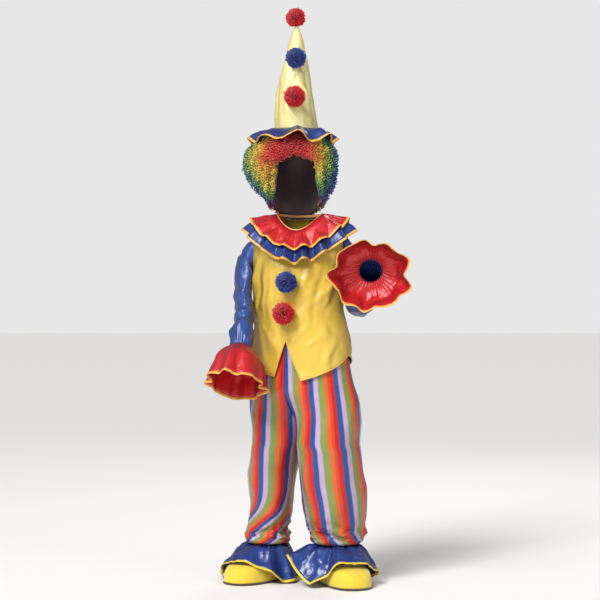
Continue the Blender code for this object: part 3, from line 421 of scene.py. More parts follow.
def tunicPanel(facing, across, levels):
    hem = frontHem if facing > 0 else backHem
    depthName = "front" if facing > 0 else "back"
    u = across[None, :]
    lower = np.clip(levels, 0, 1)[:, None]
    foot = np.interp(u, hem["across"], hem["z"])
    z = foot + (chestZ - foot) * lower
    angle = u * math.pi / 2
    edge = armholeDepth[facing] * ease((lower - underarmLevel) / (1 - underarmLevel))
    wide = along(tunicSections, "halfWidth", z) * np.sin(angle)
    deep = edge + (along(tunicSections, depthName, z) - edge) * np.cos(angle)
    neckAngle = np.clip(u / neckShare, -1, 1) * math.pi / 2
    outward = np.clip((abs(u) - neckShare) / (1 - neckShare), 0, 1)
    topWide = neckHalf * np.sin(neckAngle) + np.sign(u) * outward * (tipHalf - neckHalf)
    topDeep = neckDepth[facing] * np.cos(neckAngle)
    topZ = (neckSideZ + (neckCentreZ[facing] - neckSideZ) * np.cos(neckAngle) ** 2
             + (tipZ - neckSideZ) * outward)
    yoke = np.clip(levels - 1, 0, 1)[:, None] * math.pi / 2
    wide = wide + (topWide - wide) * (1 - np.cos(yoke))
    deep = deep + (topDeep - deep) * (1 - np.cos(yoke))
    z = z + (topZ - z) * np.sin(yoke)
    side, front = turned(along(tunicSections, "turn", z))
    centre = np.stack([along(tunicSections, "centreX", z), 0 * z, z], -1)
    offset = facing * (deep + seamGap / 2)
    return centre + side * wide[..., None] + front * offset[..., None], centre, front


def collarSlope(distance, angles, lift):
    lay = 24.0 + 38.0 * abs(np.cos(angles)) ** 1.5 - lift
    slope = 5.0 + (lay - 5.0) * ease(distance / 0.035) + (65.0 - lay) * ease((distance - 0.055) / 0.04)
    return np.radians(slope)


def hatPoint(z, angles, extra=0.0):
    radius = along(hatSections, "radius", z) + extra
    x = along(hatSections, "centreX", z)
    return np.stack([x + radius * np.sin(angles), -radius * np.cos(angles), z + 0 * angles], -1)


def wigRing(sections, z, angles, extra=0.0):
    depth = np.where(np.cos(angles) > 0, along(sections, "front", z), along(sections, "back", z))
    x = along(sections, "centreX", z) + (along(sections, "side", z) + extra) * np.sin(angles)
    y = -(depth + extra) * np.cos(angles)
    return np.stack([x, y, z], -1)


def spread(values, wanted):  # smooth curve through evenly spaced rows of points
    places = np.arange(len(values), dtype=float)
    slopes = np.gradient(values, axis=0)
    at = np.clip(np.floor(wanted).astype(int), 0, len(places) - 2)
    t = (wanted - at).reshape((-1,) + (1,) * (values.ndim - 1))
    return ((1 + 2 * t) * (1 - t) ** 2 * values[at] + t * (1 - t) ** 2 * slopes[at]
            + t * t * (3 - 2 * t) * values[at + 1] + t * t * (t - 1) * slopes[at + 1])


def linear(hexText):
    values = [int(hexText[i:i + 2], 16) / 255 for i in (1, 3, 5)]
    return [v / 12.92 if v <= 0.04045 else ((v + 0.055) / 1.055) ** 2.4 for v in values] + [1.0]


def addNode(tree, kind, inputs=None, **settings):
    node = tree.nodes.new(kind)
    for name, value in settings.items():
        setattr(node, name, value)
    for socket, value in (inputs or {}).items():
        if isinstance(value, bpy.types.NodeSocket):
            tree.links.new(value, node.inputs[socket])
        else:
            node.inputs[socket].default_value = value
    return node


def perMetre(millimetres):  # texture scale that gives a feature of this size
    return 1000.0 / millimetres


def startMaterial(name, roughness, sheen=0.0):
    material = bpy.data.materials.new(name)
    material.use_nodes = True
    tree = material.node_tree
    shader = tree.nodes["Principled BSDF"]
    shader.inputs["Roughness"].default_value = roughness
    shader.inputs["Sheen Weight"].default_value = sheen
    return material, tree, shader


def mixColours(tree, factor, first, second, blend="MIX"):
    return addNode(tree, "ShaderNodeMix", {"Factor": factor, 6: first, 7: second},
                   data_type="RGBA", blend_type=blend).outputs[2]


def paintedSheenAndShade(tree, light, dark, lean):  # painted sheen and shade: satin's base colour goes from the lit colour face on to a painted shade colour at a slant
    facing = addNode(tree, "ShaderNodeLayerWeight", {"Blend": lean})
    return mixColours(tree, facing.outputs["Facing"], light, dark)


def clothBump(tree, shader, creaseMm, creaseHeight, threadMm, threadHeight):
    place = addNode(tree, "ShaderNodeTexCoord")
    crease = addNode(tree, "ShaderNodeTexNoise", {"Vector": place.outputs["Object"], "Detail": 4.0,
                                                  "Scale": perMetre(creaseMm), "Roughness": 0.45})
    thread = addNode(tree, "ShaderNodeTexNoise", {"Vector": place.outputs["Object"], "Detail": 1.0,
                                                  "Scale": perMetre(threadMm)})
    fine = addNode(tree, "ShaderNodeBump",
                   {"Height": thread.outputs["Fac"], "Distance": threadHeight, "Strength": 0.5})
    bump = addNode(tree, "ShaderNodeBump", {"Height": crease.outputs["Fac"], "Distance": creaseHeight,
                                            "Normal": fine.outputs["Normal"]})
    tree.links.new(bump.outputs["Normal"], shader.inputs["Normal"])


def satin(name, light, dark, roughness=0.34, lean=0.38, crease=0.0022):
    material, tree, shader = startMaterial(name, roughness, 0.04)
    # painted shade: dark is a shade colour shown where the cloth turns away from view, light the lit colour
    # face on
    colour = paintedSheenAndShade(tree, linear(light), linear(dark), lean)
    tree.links.new(colour, shader.inputs["Base Color"])
    shader.inputs["Specular IOR Level"].default_value = 0.6
    clothBump(tree, shader, 26.0, crease, 0.7, 0.00006)
    return material


# The slant colour dims each stripe where the cloth turns away from view: painted shade.
stripes = {"period": 0.0670, "roughness": 0.38, "blur": 0.022, "slant": (0.55, 0.50, 0.52, 1.0),
           "widths": (0.198, 0.173, 0.223, 0.149, 0.109, 0.148),
           "colours": ("#224C90", "#BFA6C8", "#84954A", "#D86827", "#DA4020", "#C8161C")}


def stripedSatin(name):
    material, tree, shader = startMaterial(name, stripes["roughness"], 0.04)
    place = addNode(tree, "ShaderNodeUVMap", uv_map="cut")
    split = addNode(tree, "ShaderNodeSeparateXYZ", {"Vector": place.outputs["UV"]})
    turns = addNode(tree, "ShaderNodeMath", {0: split.outputs["X"], 1: stripes["period"]},
                    operation="DIVIDE")
    share = addNode(tree, "ShaderNodeMath", {0: turns.outputs[0], 1: 1.0, 2: 0.0}, operation="WRAP")
    ramp = addNode(tree, "ShaderNodeValToRGB", {"Fac": share.outputs[0]})
    ramp.color_ramp.interpolation = "LINEAR"
    for element in list(ramp.color_ramp.elements)[1:]:
        ramp.color_ramp.elements.remove(element)
    starts = np.concatenate([[0.0], np.cumsum(stripes["widths"])[:-1]])
    blur = stripes["blur"]
    first = ramp.color_ramp.elements[0]
    first.position = 0.0
    first.color = linear(stripes["colours"][0])
    for number in range(1, len(starts)):
        before = ramp.color_ramp.elements.new(starts[number] - blur)
        before.color = linear(stripes["colours"][number - 1])
        after = ramp.color_ramp.elements.new(starts[number] + blur)
        after.color = linear(stripes["colours"][number])
    last = ramp.color_ramp.elements.new(1.0 - blur)
    last.color = linear(stripes["colours"][-1])
    # painted shade: each stripe colour dimmed for the slant view
    paintedSlantColour = mixColours(tree, 1.0, ramp.outputs["Color"], stripes["slant"], "MULTIPLY")
    tree.links.new(paintedSheenAndShade(tree, ramp.outputs["Color"], paintedSlantColour, 0.30), shader.inputs["Base Color"])
    shader.inputs["Specular IOR Level"].default_value = 0.5
    clothBump(tree, shader, 22.0, 0.0016, 0.7, 0.00006)
    return material


def tinted(name, roughness, dull=1.0):  # colour from the piece's own tint attribute
    material, tree, shader = startMaterial(name, roughness, 0.3)
    tint = addNode(tree, "ShaderNodeAttribute", attribute_name="tint")
    tree.links.new(tint.outputs["Color"], shader.inputs["Base Color"])
    shader.inputs["Specular IOR Level"].default_value = 0.35 * dull
    return material


def felt(name, light, dark, roughness):
    material, tree, shader = startMaterial(name, roughness, 0.4)
    place = addNode(tree, "ShaderNodeTexCoord")
    nap = addNode(tree, "ShaderNodeTexNoise",
                  {"Vector": place.outputs["Object"], "Scale": perMetre(4.0), "Detail": 6.0})
    colour = mixColours(tree, nap.outputs["Fac"], linear(light), linear(dark))
    tree.links.new(colour, shader.inputs["Base Color"])
    clothBump(tree, shader, 30.0, 0.0016, 0.9, 0.0001)
    return material


# Each satin's second colour is painted shade, shown where the cloth turns away from view; the first is the
# lit colour face on.
finishes = {
    "tunic": satin("yellow satin", "#E6C24A", "#86651A", 0.35, 0.54, 0.0026),
    "neck": satin("gold neck binding", "#FFB46E", "#C87A30", 0.45, 0.30, 0.0004),
    "red": satin("red satin", "#E0222A", "#700710", 0.36, 0.50, 0.0020),
    "cuff": satin("deep red satin", "#D81A22", "#60050B", 0.36, 0.50, 0.0022),
    "blue": satin("royal blue satin", "#24408F", "#080F3C", 0.32, 0.54, 0.0022),
    "sleeve": satin("blue sleeve satin", "#34549F", "#0B1748", 0.34, 0.54, 0.0026),
    "ankle": satin("blue ankle satin", "#1D3F88", "#060F3C", 0.28, 0.52, 0.0026),
    "edge": satin("gold bias binding", "#F8BE50", "#B97826", 0.42, 0.34, 0.0004),
    "ankleEdge": satin("yellow bias binding", "#F0CE3A", "#B98C1C", 0.45, 0.30, 0.0003),
    "hat": satin("pale yellow satin", "#F4EDAA", "#B79C42", 0.33, 0.46, 0.0030),
    "waist": satin("white elastic", "#EDE8DF", "#B8B2A6", 0.70, 0.20, 0.0004),
    "striped": stripedSatin("striped satin"),
    "shoe": felt("lemon felt", "#F6DE45", "#E2BC2C", 0.75),
    "sole": felt("brown sole felt", "#54423A", "#33282A", 0.85),
    "yarn": tinted("pompom yarn", 0.85, 0.6),
    "curls": tinted("wig curls", 0.42),
}
print("finishes made")


def linked(name, data):
    made = bpy.data.objects.new(name, data)
    bpy.context.scene.collection.objects.link(made)
    return made


def addMesh(name, points, quads, material, uv=None, tint=None, smooth=True):
    used, quads = np.unique(quads, return_inverse=True)
    quads = quads.reshape(-1, 4)
    mesh = bpy.data.meshes.new(name)
    mesh.vertices.add(len(used))
    mesh.vertices.foreach_set("co", np.ascontiguousarray(points[used], np.float32).ravel())
    mesh.loops.add(quads.size)
    mesh.loops.foreach_set("vertex_index", quads.ravel().astype(np.int32))
    mesh.polygons.add(len(quads))
    mesh.polygons.foreach_set("loop_start", np.arange(0, quads.size, 4, dtype=np.int32))
    mesh.update(calc_edges=True)
    if uv is not None:
        layer = mesh.uv_layers.new(name="cut")
        layer.data.foreach_set("uv", np.ascontiguousarray(uv, np.float32).ravel())
    if tint is not None:
        layer = mesh.attributes.new("tint", "FLOAT_COLOR", "POINT")
        layer.data.foreach_set("color", np.ascontiguousarray(tint[used], np.float32).ravel())
    if smooth:
        mesh.shade_smooth()
    mesh.materials.append(material)
    return linked(name, mesh)


def gridQuads(ids):
    return np.stack([ids[:-1, :-1], ids[:-1, 1:], ids[1:, 1:], ids[1:, :-1]], -1).reshape(-1, 4)


def closedGrid(grid):
    return np.concatenate([grid, grid[:, :1]], 1)


def weldedIds(grid):  # the last column takes the points of the first
    ids = np.arange(grid.shape[0] * grid.shape[1]).reshape(grid.shape[:2])
    ids[:, -1] = ids[:, 0]
    return ids


def turnedOut(quads, points, away):  # faces look away from the cloth's inside
    first = points[quads[0]]
    turn = np.cross(first[1] - first[0], first[3] - first[0])
    return quads[:, ::-1] if (turn * away(first[0])).sum() < 0 else quads


def facingOf(outer, inside, closed, joinedFrom):
    facing = normals(outer, inside, False)
    if closed:
        facing = closedGrid(normals(outer[:, :-1], inside, True))
    elif joinedFrom is not None:
        facing[joinedFrom:] = closedGrid(normals(outer[joinedFrom:, :-1], inside[joinedFrom:], True))
    return facing


def addCloth(name, outer, inside, thickness, material, closed=True, joinedFrom=None, across=None):
    if closed:
        outer = closedGrid(outer)
    rows, columns = outer.shape[:2]
    facing = facingOf(outer, inside, closed, joinedFrom)
    inner = outer - thickness * facing  # the same points moved in by the wall
    stepU, stepV = lengths(outer, 1), lengths(outer, 0)
    if across is None:
        across = np.concatenate([np.zeros((rows, 1)), np.cumsum(stepU, 1)], 1)
    down = np.concatenate([np.zeros((1, columns)), np.cumsum(stepV, 0)], 0)
    plain = np.arange(rows * columns).reshape(rows, columns)
    other = plain + rows * columns
    quads = [gridQuads(plain), gridQuads(other)[:, ::-1],
             gridQuads(np.stack([other[0], plain[0]])), gridQuads(np.stack([plain[-1], other[-1]]))]
    if not closed:
        slit = rows if joinedFrom is None else joinedFrom + 1
        quads.append(gridQuads(np.stack([plain[:slit, 0], other[:slit, 0]])))
        quads.append(gridQuads(np.stack([other[:slit, -1], plain[:slit, -1]])))
    quads = np.concatenate(quads)
    points = np.concatenate([outer.reshape(-1, 3), inner.reshape(-1, 3)])
    welded = np.arange(2 * rows * columns).reshape(2, rows, columns)
    if closed:
        welded[:, :, -1] = welded[:, :, 0]
    elif joinedFrom is not None:
        welded[:, joinedFrom:, -1] = welded[:, joinedFrom:, 0]
    quads = turnedOut(quads, points, lambda _: facing[0, 0])
    flat = np.stack([across, down], -1).reshape(-1, 2)
    uv = np.concatenate([flat, flat])[quads.ravel()]
    made = addMesh(name, points, welded.reshape(-1)[quads], material, uv)
    d1, d2 = outer[1:, 1:] - outer[:-1, :-1], outer[1:, :-1] - outer[:-1, 1:]
    area = float(np.linalg.norm(np.cross(d1, d2), axis=-1).sum() / 2)
    return made, (float(stepU.sum(1).max()), float(stepV.sum(0).max()), area), outer, inner


def dress(made, nodes):
    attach(made, "root")
    if nodes:
        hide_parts(*nodes)


def addRuffle(name, outer, inside, look, material, nodes, edge="edge"):
    made, cut, outer, inner = addCloth(name, outer, inside, look["thickness"], finishes[material])
    binding = addEdge(name + "Binding", outer, inner, finishes[edge])
    dress(binding, [nodes[1]])
    dress(made, [nodes[0]])


stitchLength = 0.0032


def addTape(name, middle, onward, out, width, thickness, material, closed=True, stitch=0.0):
    turns = ringAngles(10)
    if closed:
        middle, onward, out = (np.concatenate([x, x[:1]]) for x in (middle, onward, out))
    run = np.concatenate([[0.0], np.cumsum(lengths(middle, 0))])
    swell = 1 + stitch * np.cos(run * 2 * math.pi / stitchLength)  # pinched at each stitch
    wide = np.sign(np.cos(turns)) * abs(np.cos(turns)) ** 0.7 * width / 2
    tall = np.sin(turns) * thickness / 2
    grid = (middle[:, None] + onward[:, None] * wide[None, :, None]
            + out[:, None] * (tall[None] * swell[:, None])[..., None])
    grid = closedGrid(grid)
    rows, columns = grid.shape[:2]
    ids = np.arange(rows * columns).reshape(rows, columns)
    welded = weldedIds(grid)
    if closed:
        welded[-1] = welded[0]
    quads = gridQuads(ids)
    if not closed:
        for end, order in ((0, 1), (-1, -1)):
            ring = ids[end, :-1][::order]
            cap = np.stack([ring[0:4], ring[1:5], ring[8:4:-1], ring[9:5:-1]], -1)
            quads = np.concatenate([quads, cap])
    points = grid.reshape(-1, 3)
    quads = turnedOut(quads, points, lambda point: point - middle[0])
    cut = np.stack([np.broadcast_to(run[:, None], ids.shape),
                    np.broadcast_to(np.arange(columns) * width / 5, ids.shape)], -1).reshape(-1, 2)
    return addMesh(name, points, welded.reshape(-1)[quads], material, cut[quads.ravel()])


def addEdge(name, outer, inner, material, closed=True, width=bindingWidth, thickness=0.0024):
    if closed:
        outer, inner = outer[:, :-1], inner[:, :-1]
    middle = (outer[-1] + inner[-1]) / 2
    onward = unit(outer[-1] - outer[-2])
    out = unit(outer[-1] - inner[-1])
    onward = unit(onward - (onward * out).sum(-1, keepdims=True) * out)
    middle = middle + onward * (width / 2 - 0.0003)
    return addTape(name, middle, onward, out, width + 0.0012, thickness, material, closed, 0.10)


def folds(u, v, rows):  # each runs between two places and fades at both ends
    lift = np.zeros(np.broadcast(u, v).shape)
    for u0, v0, u1, v1, width, height in zip(*rows.values()):
        du, dv = u1 - u0, v1 - v0
        share = ((u - u0) * du + (v - v0) * dv) / (du * du + dv * dv)
        near = np.clip(share, 0, 1)
        away = np.hypot(u - u0 - near * du, v - v0 - near * dv)
        fade = np.sin(math.pi * np.clip(0.12 + 0.76 * near, 0, 1))
        lift = lift + height * np.exp(-(away / width) ** 2) * fade
    return lift


def scaled(rows, names, factor):
    return {name: values * factor if name in names else values for name, values in rows.items()}


def crumple(points, size, height, seed, upright=1.0):  # sharp little ridges that come and go
    generator = np.random.default_rng(seed)
    places = points * np.array([1.0, 1.0, 1.0 / upright])
    total = np.zeros(points.shape[:-1])
    for octave in range(3):
        reach = size * 0.55 ** octave
        for wave in range(5):
            heading = [unit(generator.normal(0, 1, 3)) * 2 * math.pi / (reach * far)
                       for far in (1.0, 2.3, 3.1)]
            phase = generator.uniform(0, 2 * math.pi, 3)
            bent = places @ heading[0] + phase[0] + 1.5 * np.sin(places @ heading[1] + phase[1])
            patch = 0.5 + 0.5 * np.sin(places @ heading[2] + phase[2])
            total += patch * (0.5 - abs(np.sin(bent / 2)) ** 1.3) * 0.42 ** octave
    return total * height / 1.3


tunicLook = {"thickness": 0.0011, "columns": 136, "rows": 84, "yoke": 40, "foldShare": 1.7,
             "crease": 0.085, "crumple": 0.0040, "tuckZ": -0.200, "tuckDepth": 0.0010}
frontFolds = table(
    "u0 v0 u1 v1 width height",
    (-0.12, -0.1, -0.15, -0.23, 0.01, 0.0026),
    (-0.095, -0.095, -0.105, -0.3, 0.009, -0.0022),
    (-0.07, -0.1, -0.068, -0.26, 0.01, 0.0024),
    (-0.045, -0.11, -0.03, -0.2, 0.008, -0.0018),
    (0.05, -0.105, 0.03, -0.19, 0.01, 0.002),
    (0.085, -0.1, 0.075, -0.24, 0.01, -0.0024),
    (0.11, -0.11, 0.12, -0.22, 0.012, 0.0026),
    (0.15, -0.13, 0.06, -0.215, 0.01, 0.0022),
    (0.155, -0.16, 0.09, -0.25, 0.009, -0.002),
    (0.06, -0.25, 0.01, -0.3, 0.008, 0.0022),
    (0.105, -0.27, 0.02, -0.325, 0.009, 0.0024),
    (-0.085, -0.24, -0.02, -0.3, 0.009, 0.002),
    (-0.13, -0.26, -0.045, -0.315, 0.01, -0.002),
    (0.13, -0.29, 0.09, -0.35, 0.01, 0.0022),
    (-0.15, -0.2, -0.11, -0.33, 0.01, 0.002),
)
backFolds = table(
    "u0 v0 u1 v1 width height",
    (-0.12, -0.1, -0.14, -0.25, 0.011, 0.0026),
    (-0.075, -0.11, -0.085, -0.32, 0.012, -0.0024),
    (-0.03, -0.1, -0.035, -0.28, 0.011, 0.0022),
    (0.02, -0.11, 0.03, -0.34, 0.012, -0.0024),
    (0.065, -0.1, 0.075, -0.26, 0.011, 0.0026),
    (0.115, -0.11, 0.1, -0.31, 0.012, 0.0022),
    (0.15, -0.14, 0.08, -0.22, 0.01, -0.002),
    (-0.15, -0.15, -0.09, -0.23, 0.01, 0.0022),
)


def addTunic(name, facing, rows, node, hemNode):
    hem = frontHem if facing > 0 else backHem
    across = np.linspace(-1, 1, tunicLook["columns"])
    apart = abs(across[:, None] - hem["across"][None]).min(1) > 0.45 / tunicLook["columns"]
    across = np.sort(np.concatenate([across[apart], hem["across"]]))
    levels = np.concatenate([np.linspace(0, 1, tunicLook["rows"]),
                             np.linspace(1, 2, tunicLook["yoke"])[1:]])
    outer, centre, _ = tunicPanel(facing, across, levels)
    facingOut = normals(outer, centre, False)
    u = across[None, :] * 0.18
    lift = folds(u, outer[..., 2], rows)
    calm = 1 - abs(across[None, :]) ** 8
    lift = lift * tunicLook["foldShare"] + crumple(outer, tunicLook["crease"], tunicLook["crumple"], 3, 1.1)
    low = ease((tunicLook["tuckZ"] - outer[..., 2]) / 0.040)  # here the trousers lie close under it
    lift = lift * (1 - low) + np.maximum(lift, -tunicLook["tuckDepth"]) * low
    outer = outer + facingOut * (lift * calm)[..., None]
    made, cut, outer, inner = addCloth(name, outer, centre, tunicLook["thickness"],
                                       finishes["tunic"], False)
    cut = (float(lengths(outer[..., :2], 1).sum(1).max()), *cut[1:])  # the hem's points add no width
    edge = addEdge(name + "Hem", outer[:2][::-1], inner[:2][::-1], finishes["tunic"], False, 0.0035, 0.0022)
    dress(edge, [hemNode])
    dress(made, [node])


addTunic("tunicFront", 1, frontFolds, "tunic_front", "hem_binding_front")
addTunic("tunicBack", -1, backFolds, "tunic_back", "hem_binding_back")
print("tunic made")


def neckline(angles):
    front = tunicPanel(1, np.linspace(-neckShare, neckShare, 81), np.array([2.0]))[0][0]
    back = tunicPanel(-1, np.linspace(-neckShare, neckShare, 81), np.array([2.0]))[0][0]
    loop = np.concatenate([front, back[-2:0:-1]])
    towards = np.arctan2(loop[:, 0], -loop[:, 1])
    return np.stack([np.interp(angles, towards, loop[:, axis], period=2 * math.pi)
                     for axis in range(3)], -1)


def clearOfTunic(points, clear):
    surface, facingOut = [], []
    for facing in (1, -1):
        found, centre, _ = tunicPanel(facing, np.linspace(-1.0, 1.0, 101), np.linspace(0.85, 2.0, 51))
        surface.append(found.reshape(-1, 3))
        facingOut.append(normals(found, centre, False).reshape(-1, 3))
    surface, facingOut = np.concatenate(surface), np.concatenate(facingOut)
    nearest = np.linalg.norm(points[:, None] - surface[None], axis=-1).argmin(1)
    height = ((points - surface[nearest]) * facingOut[nearest]).sum(-1)
    return points + facingOut[nearest] * np.maximum(0.0, clear - height)[:, None]


collarLook = {"thickness": 0.0009, "columns": 480, "rows": 20, "gathers": 42, "gatherHeight": 0.0021,
              "crease": 0.034, "crumple": 0.0014}


def addCollar(name, width, liftZ, liftAngle, material, node):
    angles = ringAngles(collarLook["columns"])
    outward = outwardOf(angles)
    base = neckline(angles) + collarStart * outward + liftZ * upward
    wave = np.sin(collarWaves * angles + 0.6) * uneven(angles, collarWaves, 0.7)
    wave = wave + 0.22 * np.sin(2 * collarWaves * angles + 1.9) * np.sin(angles * 3 + 0.4)
    gather = np.sin(collarLook["gathers"] * angles + 2.2 * np.sin(angles * 5))
    cut = 1 - collarSideCut * np.sin(angles) ** 2
    grid = []
    for distance in np.linspace(0, width, collarLook["rows"]):
        steps = np.linspace(0, distance, 20)[:, None]
        slopes = collarSlope(steps * cut, angles[None, :], liftAngle)
        out = distance * cut * np.cos(slopes).mean(0)
        down = distance * cut * np.sin(slopes).mean(0)
        last = slopes[-1]
        facing = outward * np.sin(last)[:, None] + upward * np.cos(last)[:, None]
        swing = collarSwing * (distance / blueCollarRows[-1]) ** 1.8 * wave
        swing = swing + (collarLook["gatherHeight"] * gather * ease(distance / 0.006)
                         * math.exp(-distance / 0.045))
        ring = base + outward * out[:, None] - upward * down[:, None] + facing * swing[:, None]
        swing = crumple(ring, collarLook["crease"], collarLook["crumple"], 8) * ease(distance / 0.012)
        ring = ring + facing * swing[:, None]
        clear = liftZ + collarSag * min(1.0, distance / blueCollarRows[1])
        grid.append(clearOfTunic(ring, clear) if distance > 0 else ring)
    addRuffle(name, np.array(grid), np.array([0.0, 0.0, -0.5]), collarLook, material,
              (node, node + "_binding"))


addCollar("collarBlue", blueCollarRows[-1], blueCollarLift, 0.0, "blue", "collar_blue")
addCollar("collarRed", redCollarRows[-1], redCollarLift, redCollarRise, "red", "collar_red")
neckAngles = ringAngles(240)
neckOut = outwardOf(neckAngles)
neckUp = np.broadcast_to(upward, neckOut.shape)
neckMiddle = (neckline(neckAngles) + neckOut * (collarStart - seamGap - neckBandThickness / 2)
              + neckUp * (neckBandLift + neckBandHeight / 2))
neckTape = addTape("neckBinding", neckMiddle, neckUp, neckOut, neckBandHeight, neckBandThickness,
                   finishes["neck"], True, 0.06)
dress(neckTape, ["neck_binding"])
print("collar made")


sleeveLook = {"thickness": 0.0010, "columns": 112, "perRing": 8, "foldShare": 1.6, "crease": 0.040,
              "crumple": 0.0026, "gathers": 26, "gatherHeight": 0.0011}
rightSleeveFolds = table(
    "u0 v0 u1 v1 width height",
    (0.1, 2.0, 0.45, 3.2, 0.05, 0.002),
    (0.55, 1.5, 0.62, 4.5, 0.05, -0.0018),
    (0.25, 3.0, 0.3, 5.2, 0.04, 0.002),
    (0.15, 5.0, 0.48, 5.6, 0.04, -0.0024),
    (0.55, 6.2, 0.85, 5.8, 0.04, 0.0024),
    (0.1, 6.8, 0.4, 7.2, 0.04, 0.0022),
    (0.5, 7.6, 0.9, 7.9, 0.04, -0.002),
    (0.2, 8.4, 0.6, 8.9, 0.05, 0.0022),
    (0.85, 2.5, 0.8, 5.0, 0.05, 0.0018),
)
leftSleeveFolds = table(
    "u0 v0 u1 v1 width height",
    (0.1, 1.8, 0.4, 3.0, 0.05, 0.002),
    (0.5, 1.5, 0.55, 3.6, 0.05, -0.0018),
    (0.2, 4.0, 0.48, 4.4, 0.04, 0.0024),
    (0.15, 5.0, 0.42, 5.4, 0.04, -0.0022),
    (0.7, 4.5, 0.95, 5.0, 0.05, 0.0022),
    (0.45, 6.4, 0.8, 7.0, 0.05, 0.002),
    (0.1, 7.4, 0.35, 8.0, 0.04, -0.0018),
    (0.6, 8.0, 0.9, 8.8, 0.05, 0.002),
)


def armholeRing(sign, angles):  # round the rim: under seam, front edge, shoulder tip, back edge
    half = np.where(angles <= math.pi, angles, 2 * math.pi - angles)
    level = np.interp(half * 7 / math.pi, np.arange(8), tunicLevels[underarmRow:])
    rings = [tunicPanel(facing, np.array([float(sign)]), level)[0][:, 0] for facing in (1, -1)]
    rim = np.where((angles <= math.pi)[:, None], rings[0], rings[1])
    side, _ = turned(along(tunicSections, "turn", rim[:, 2]))
    return rim + sign * side * seamGap


def addSleeve(name, sign, rings, cuff, foldRows, node):
    angle = ringAngles(sleeveLook["columns"])
    under = np.stack([rings["underX"], rings["underY"], rings["underZ"]], -1)
    over = np.stack([rings["overX"], rings["overY"], rings["overZ"]], -1)
    wrist = np.array(cuff["wrist"])
    axis = unit(np.array(cuff["rim"]) - wrist)
    centres = np.concatenate([(under + over) / 2, wrist[None]])
    net = [armholeRing(sign, angle)]
    for ring in range(len(under)):
        inward = (under[ring] - over[ring]) / 2
        onward = unit(centres[ring + 1] - centres[ring])
        forward = unit(np.cross(onward, inward)) * -sign
        net.append(centres[ring] + np.outer(np.cos(angle), inward)
                   + np.outer(np.sin(angle), forward) * rings["depth"][ring])
    inward = unit(inward - (inward @ axis) * axis)
    forward = unit(np.cross(axis, inward)) * -sign
    net.append(wrist - axis * seamGap + sleeveEndRadius
               * (np.outer(np.cos(angle), inward) + np.outer(np.sin(angle), forward)))
    net = np.array(net)
    rows = np.linspace(0, len(net) - 1, (len(net) - 1) * sleeveLook["perRing"] + 1)
    outer = spread(net, rows)
    facing = normals(outer, outer.mean(1, keepdims=True), True)
    u = angle[None, :] / (2 * math.pi)
    v = rows[:, None]
    lift = folds(u, v * 0.1, scaled(foldRows, ("v0", "v1"), 0.1))
    last = len(net) - 1
    gather = np.sin(sleeveLook["gathers"] * angle + 1.5 * np.sin(3 * angle))
    gather = sleeveLook["gatherHeight"] * gather * np.exp(-((last - v) / 1.1) ** 2)
    gather = gather * ease((last - v) / 0.3)
    ends = ease(v / 0.8) * ease((last - v) / 0.5)
    lift = lift * sleeveLook["foldShare"] + crumple(outer, sleeveLook["crease"], sleeveLook["crumple"], 6)
    outer = outer + facing * (lift * ends + gather)[..., None]
    made, cut, *_ = addCloth(name, outer, outer.mean(1, keepdims=True), sleeveLook["thickness"],
                             finishes["sleeve"])
    dress(made, [node])


addSleeve("sleeveRight", -1, rightSleeve, cuffs["right"], rightSleeveFolds, "sleeve_right")
addSleeve("sleeveLeft", 1, leftSleeve, cuffs["left"], leftSleeveFolds, "sleeve_left")
print("sleeves made")


cuffLook = {"thickness": 0.0009, "columns": 324, "rows": 20, "gathers": 36, "gatherHeight": 0.0010,
            "crease": 0.036, "crumple": 0.0022}


def addCuff(name, cuff, node):
    wrist, rim = np.array(cuff["wrist"]), np.array(cuff["rim"])
    axis = unit(rim - wrist)
    reach = np.linalg.norm(rim - wrist)
    right = unit(np.cross(axis, (0.0, 0.0, 1.0)))
    upright = np.cross(right, axis)
    angle = ringAngles(cuffLook["columns"])
    spoke = np.outer(np.cos(angle), right) + np.outer(np.sin(angle), upright)
    rimSize = np.hypot(cuff["halfWide"] * np.cos(angle), cuff["halfTall"] * np.sin(angle))
    wave = 0.55 * np.sin(cuffWaves * angle + cuff["phase"]) * uneven(angle, cuffWaves, cuff["phase"])
    wave = wave + 0.35 * np.sin(5 * angle + 1.9 + 0.8 * np.sin(2 * angle)) + 0.16 * np.sin(13 * angle + 0.7)
    share = np.linspace(0, 1, cuffLook["rows"])
    out = cuffStart + np.outer(curve(cuffRows["share"], cuffRows["out"], share), rimSize - cuffStart)
    depth = np.outer(curve(cuffRows["share"], cuffRows["along"], share) * reach, np.ones(len(angle)))
    inside = wrist + depth[..., None] * axis
    mean = inside + out[..., None] * spoke
    gather = cuffLook["gatherHeight"] * np.sin(cuffLook["gathers"] * angle + 2 * np.sin(3 * angle))
    swing = (np.outer(cuffSwing * share ** 1.3, wave)
             + np.outer(ease(share / 0.08) * np.exp(-share / 0.3), gather))
    swing = swing + crumple(mean, cuffLook["crease"], cuffLook["crumple"], 4) * ease(share / 0.2)[:, None]
    outer = mean + swing[..., None] * normals(mean, inside, True)
    addRuffle(name, outer, inside.mean(1, keepdims=True), cuffLook, "cuff",
              (node, node + "_binding"))


addCuff("cuffRight", cuffs["right"], "cuff_right")
addCuff("cuffLeft", cuffs["left"], "cuff_left")
print("cuffs made")


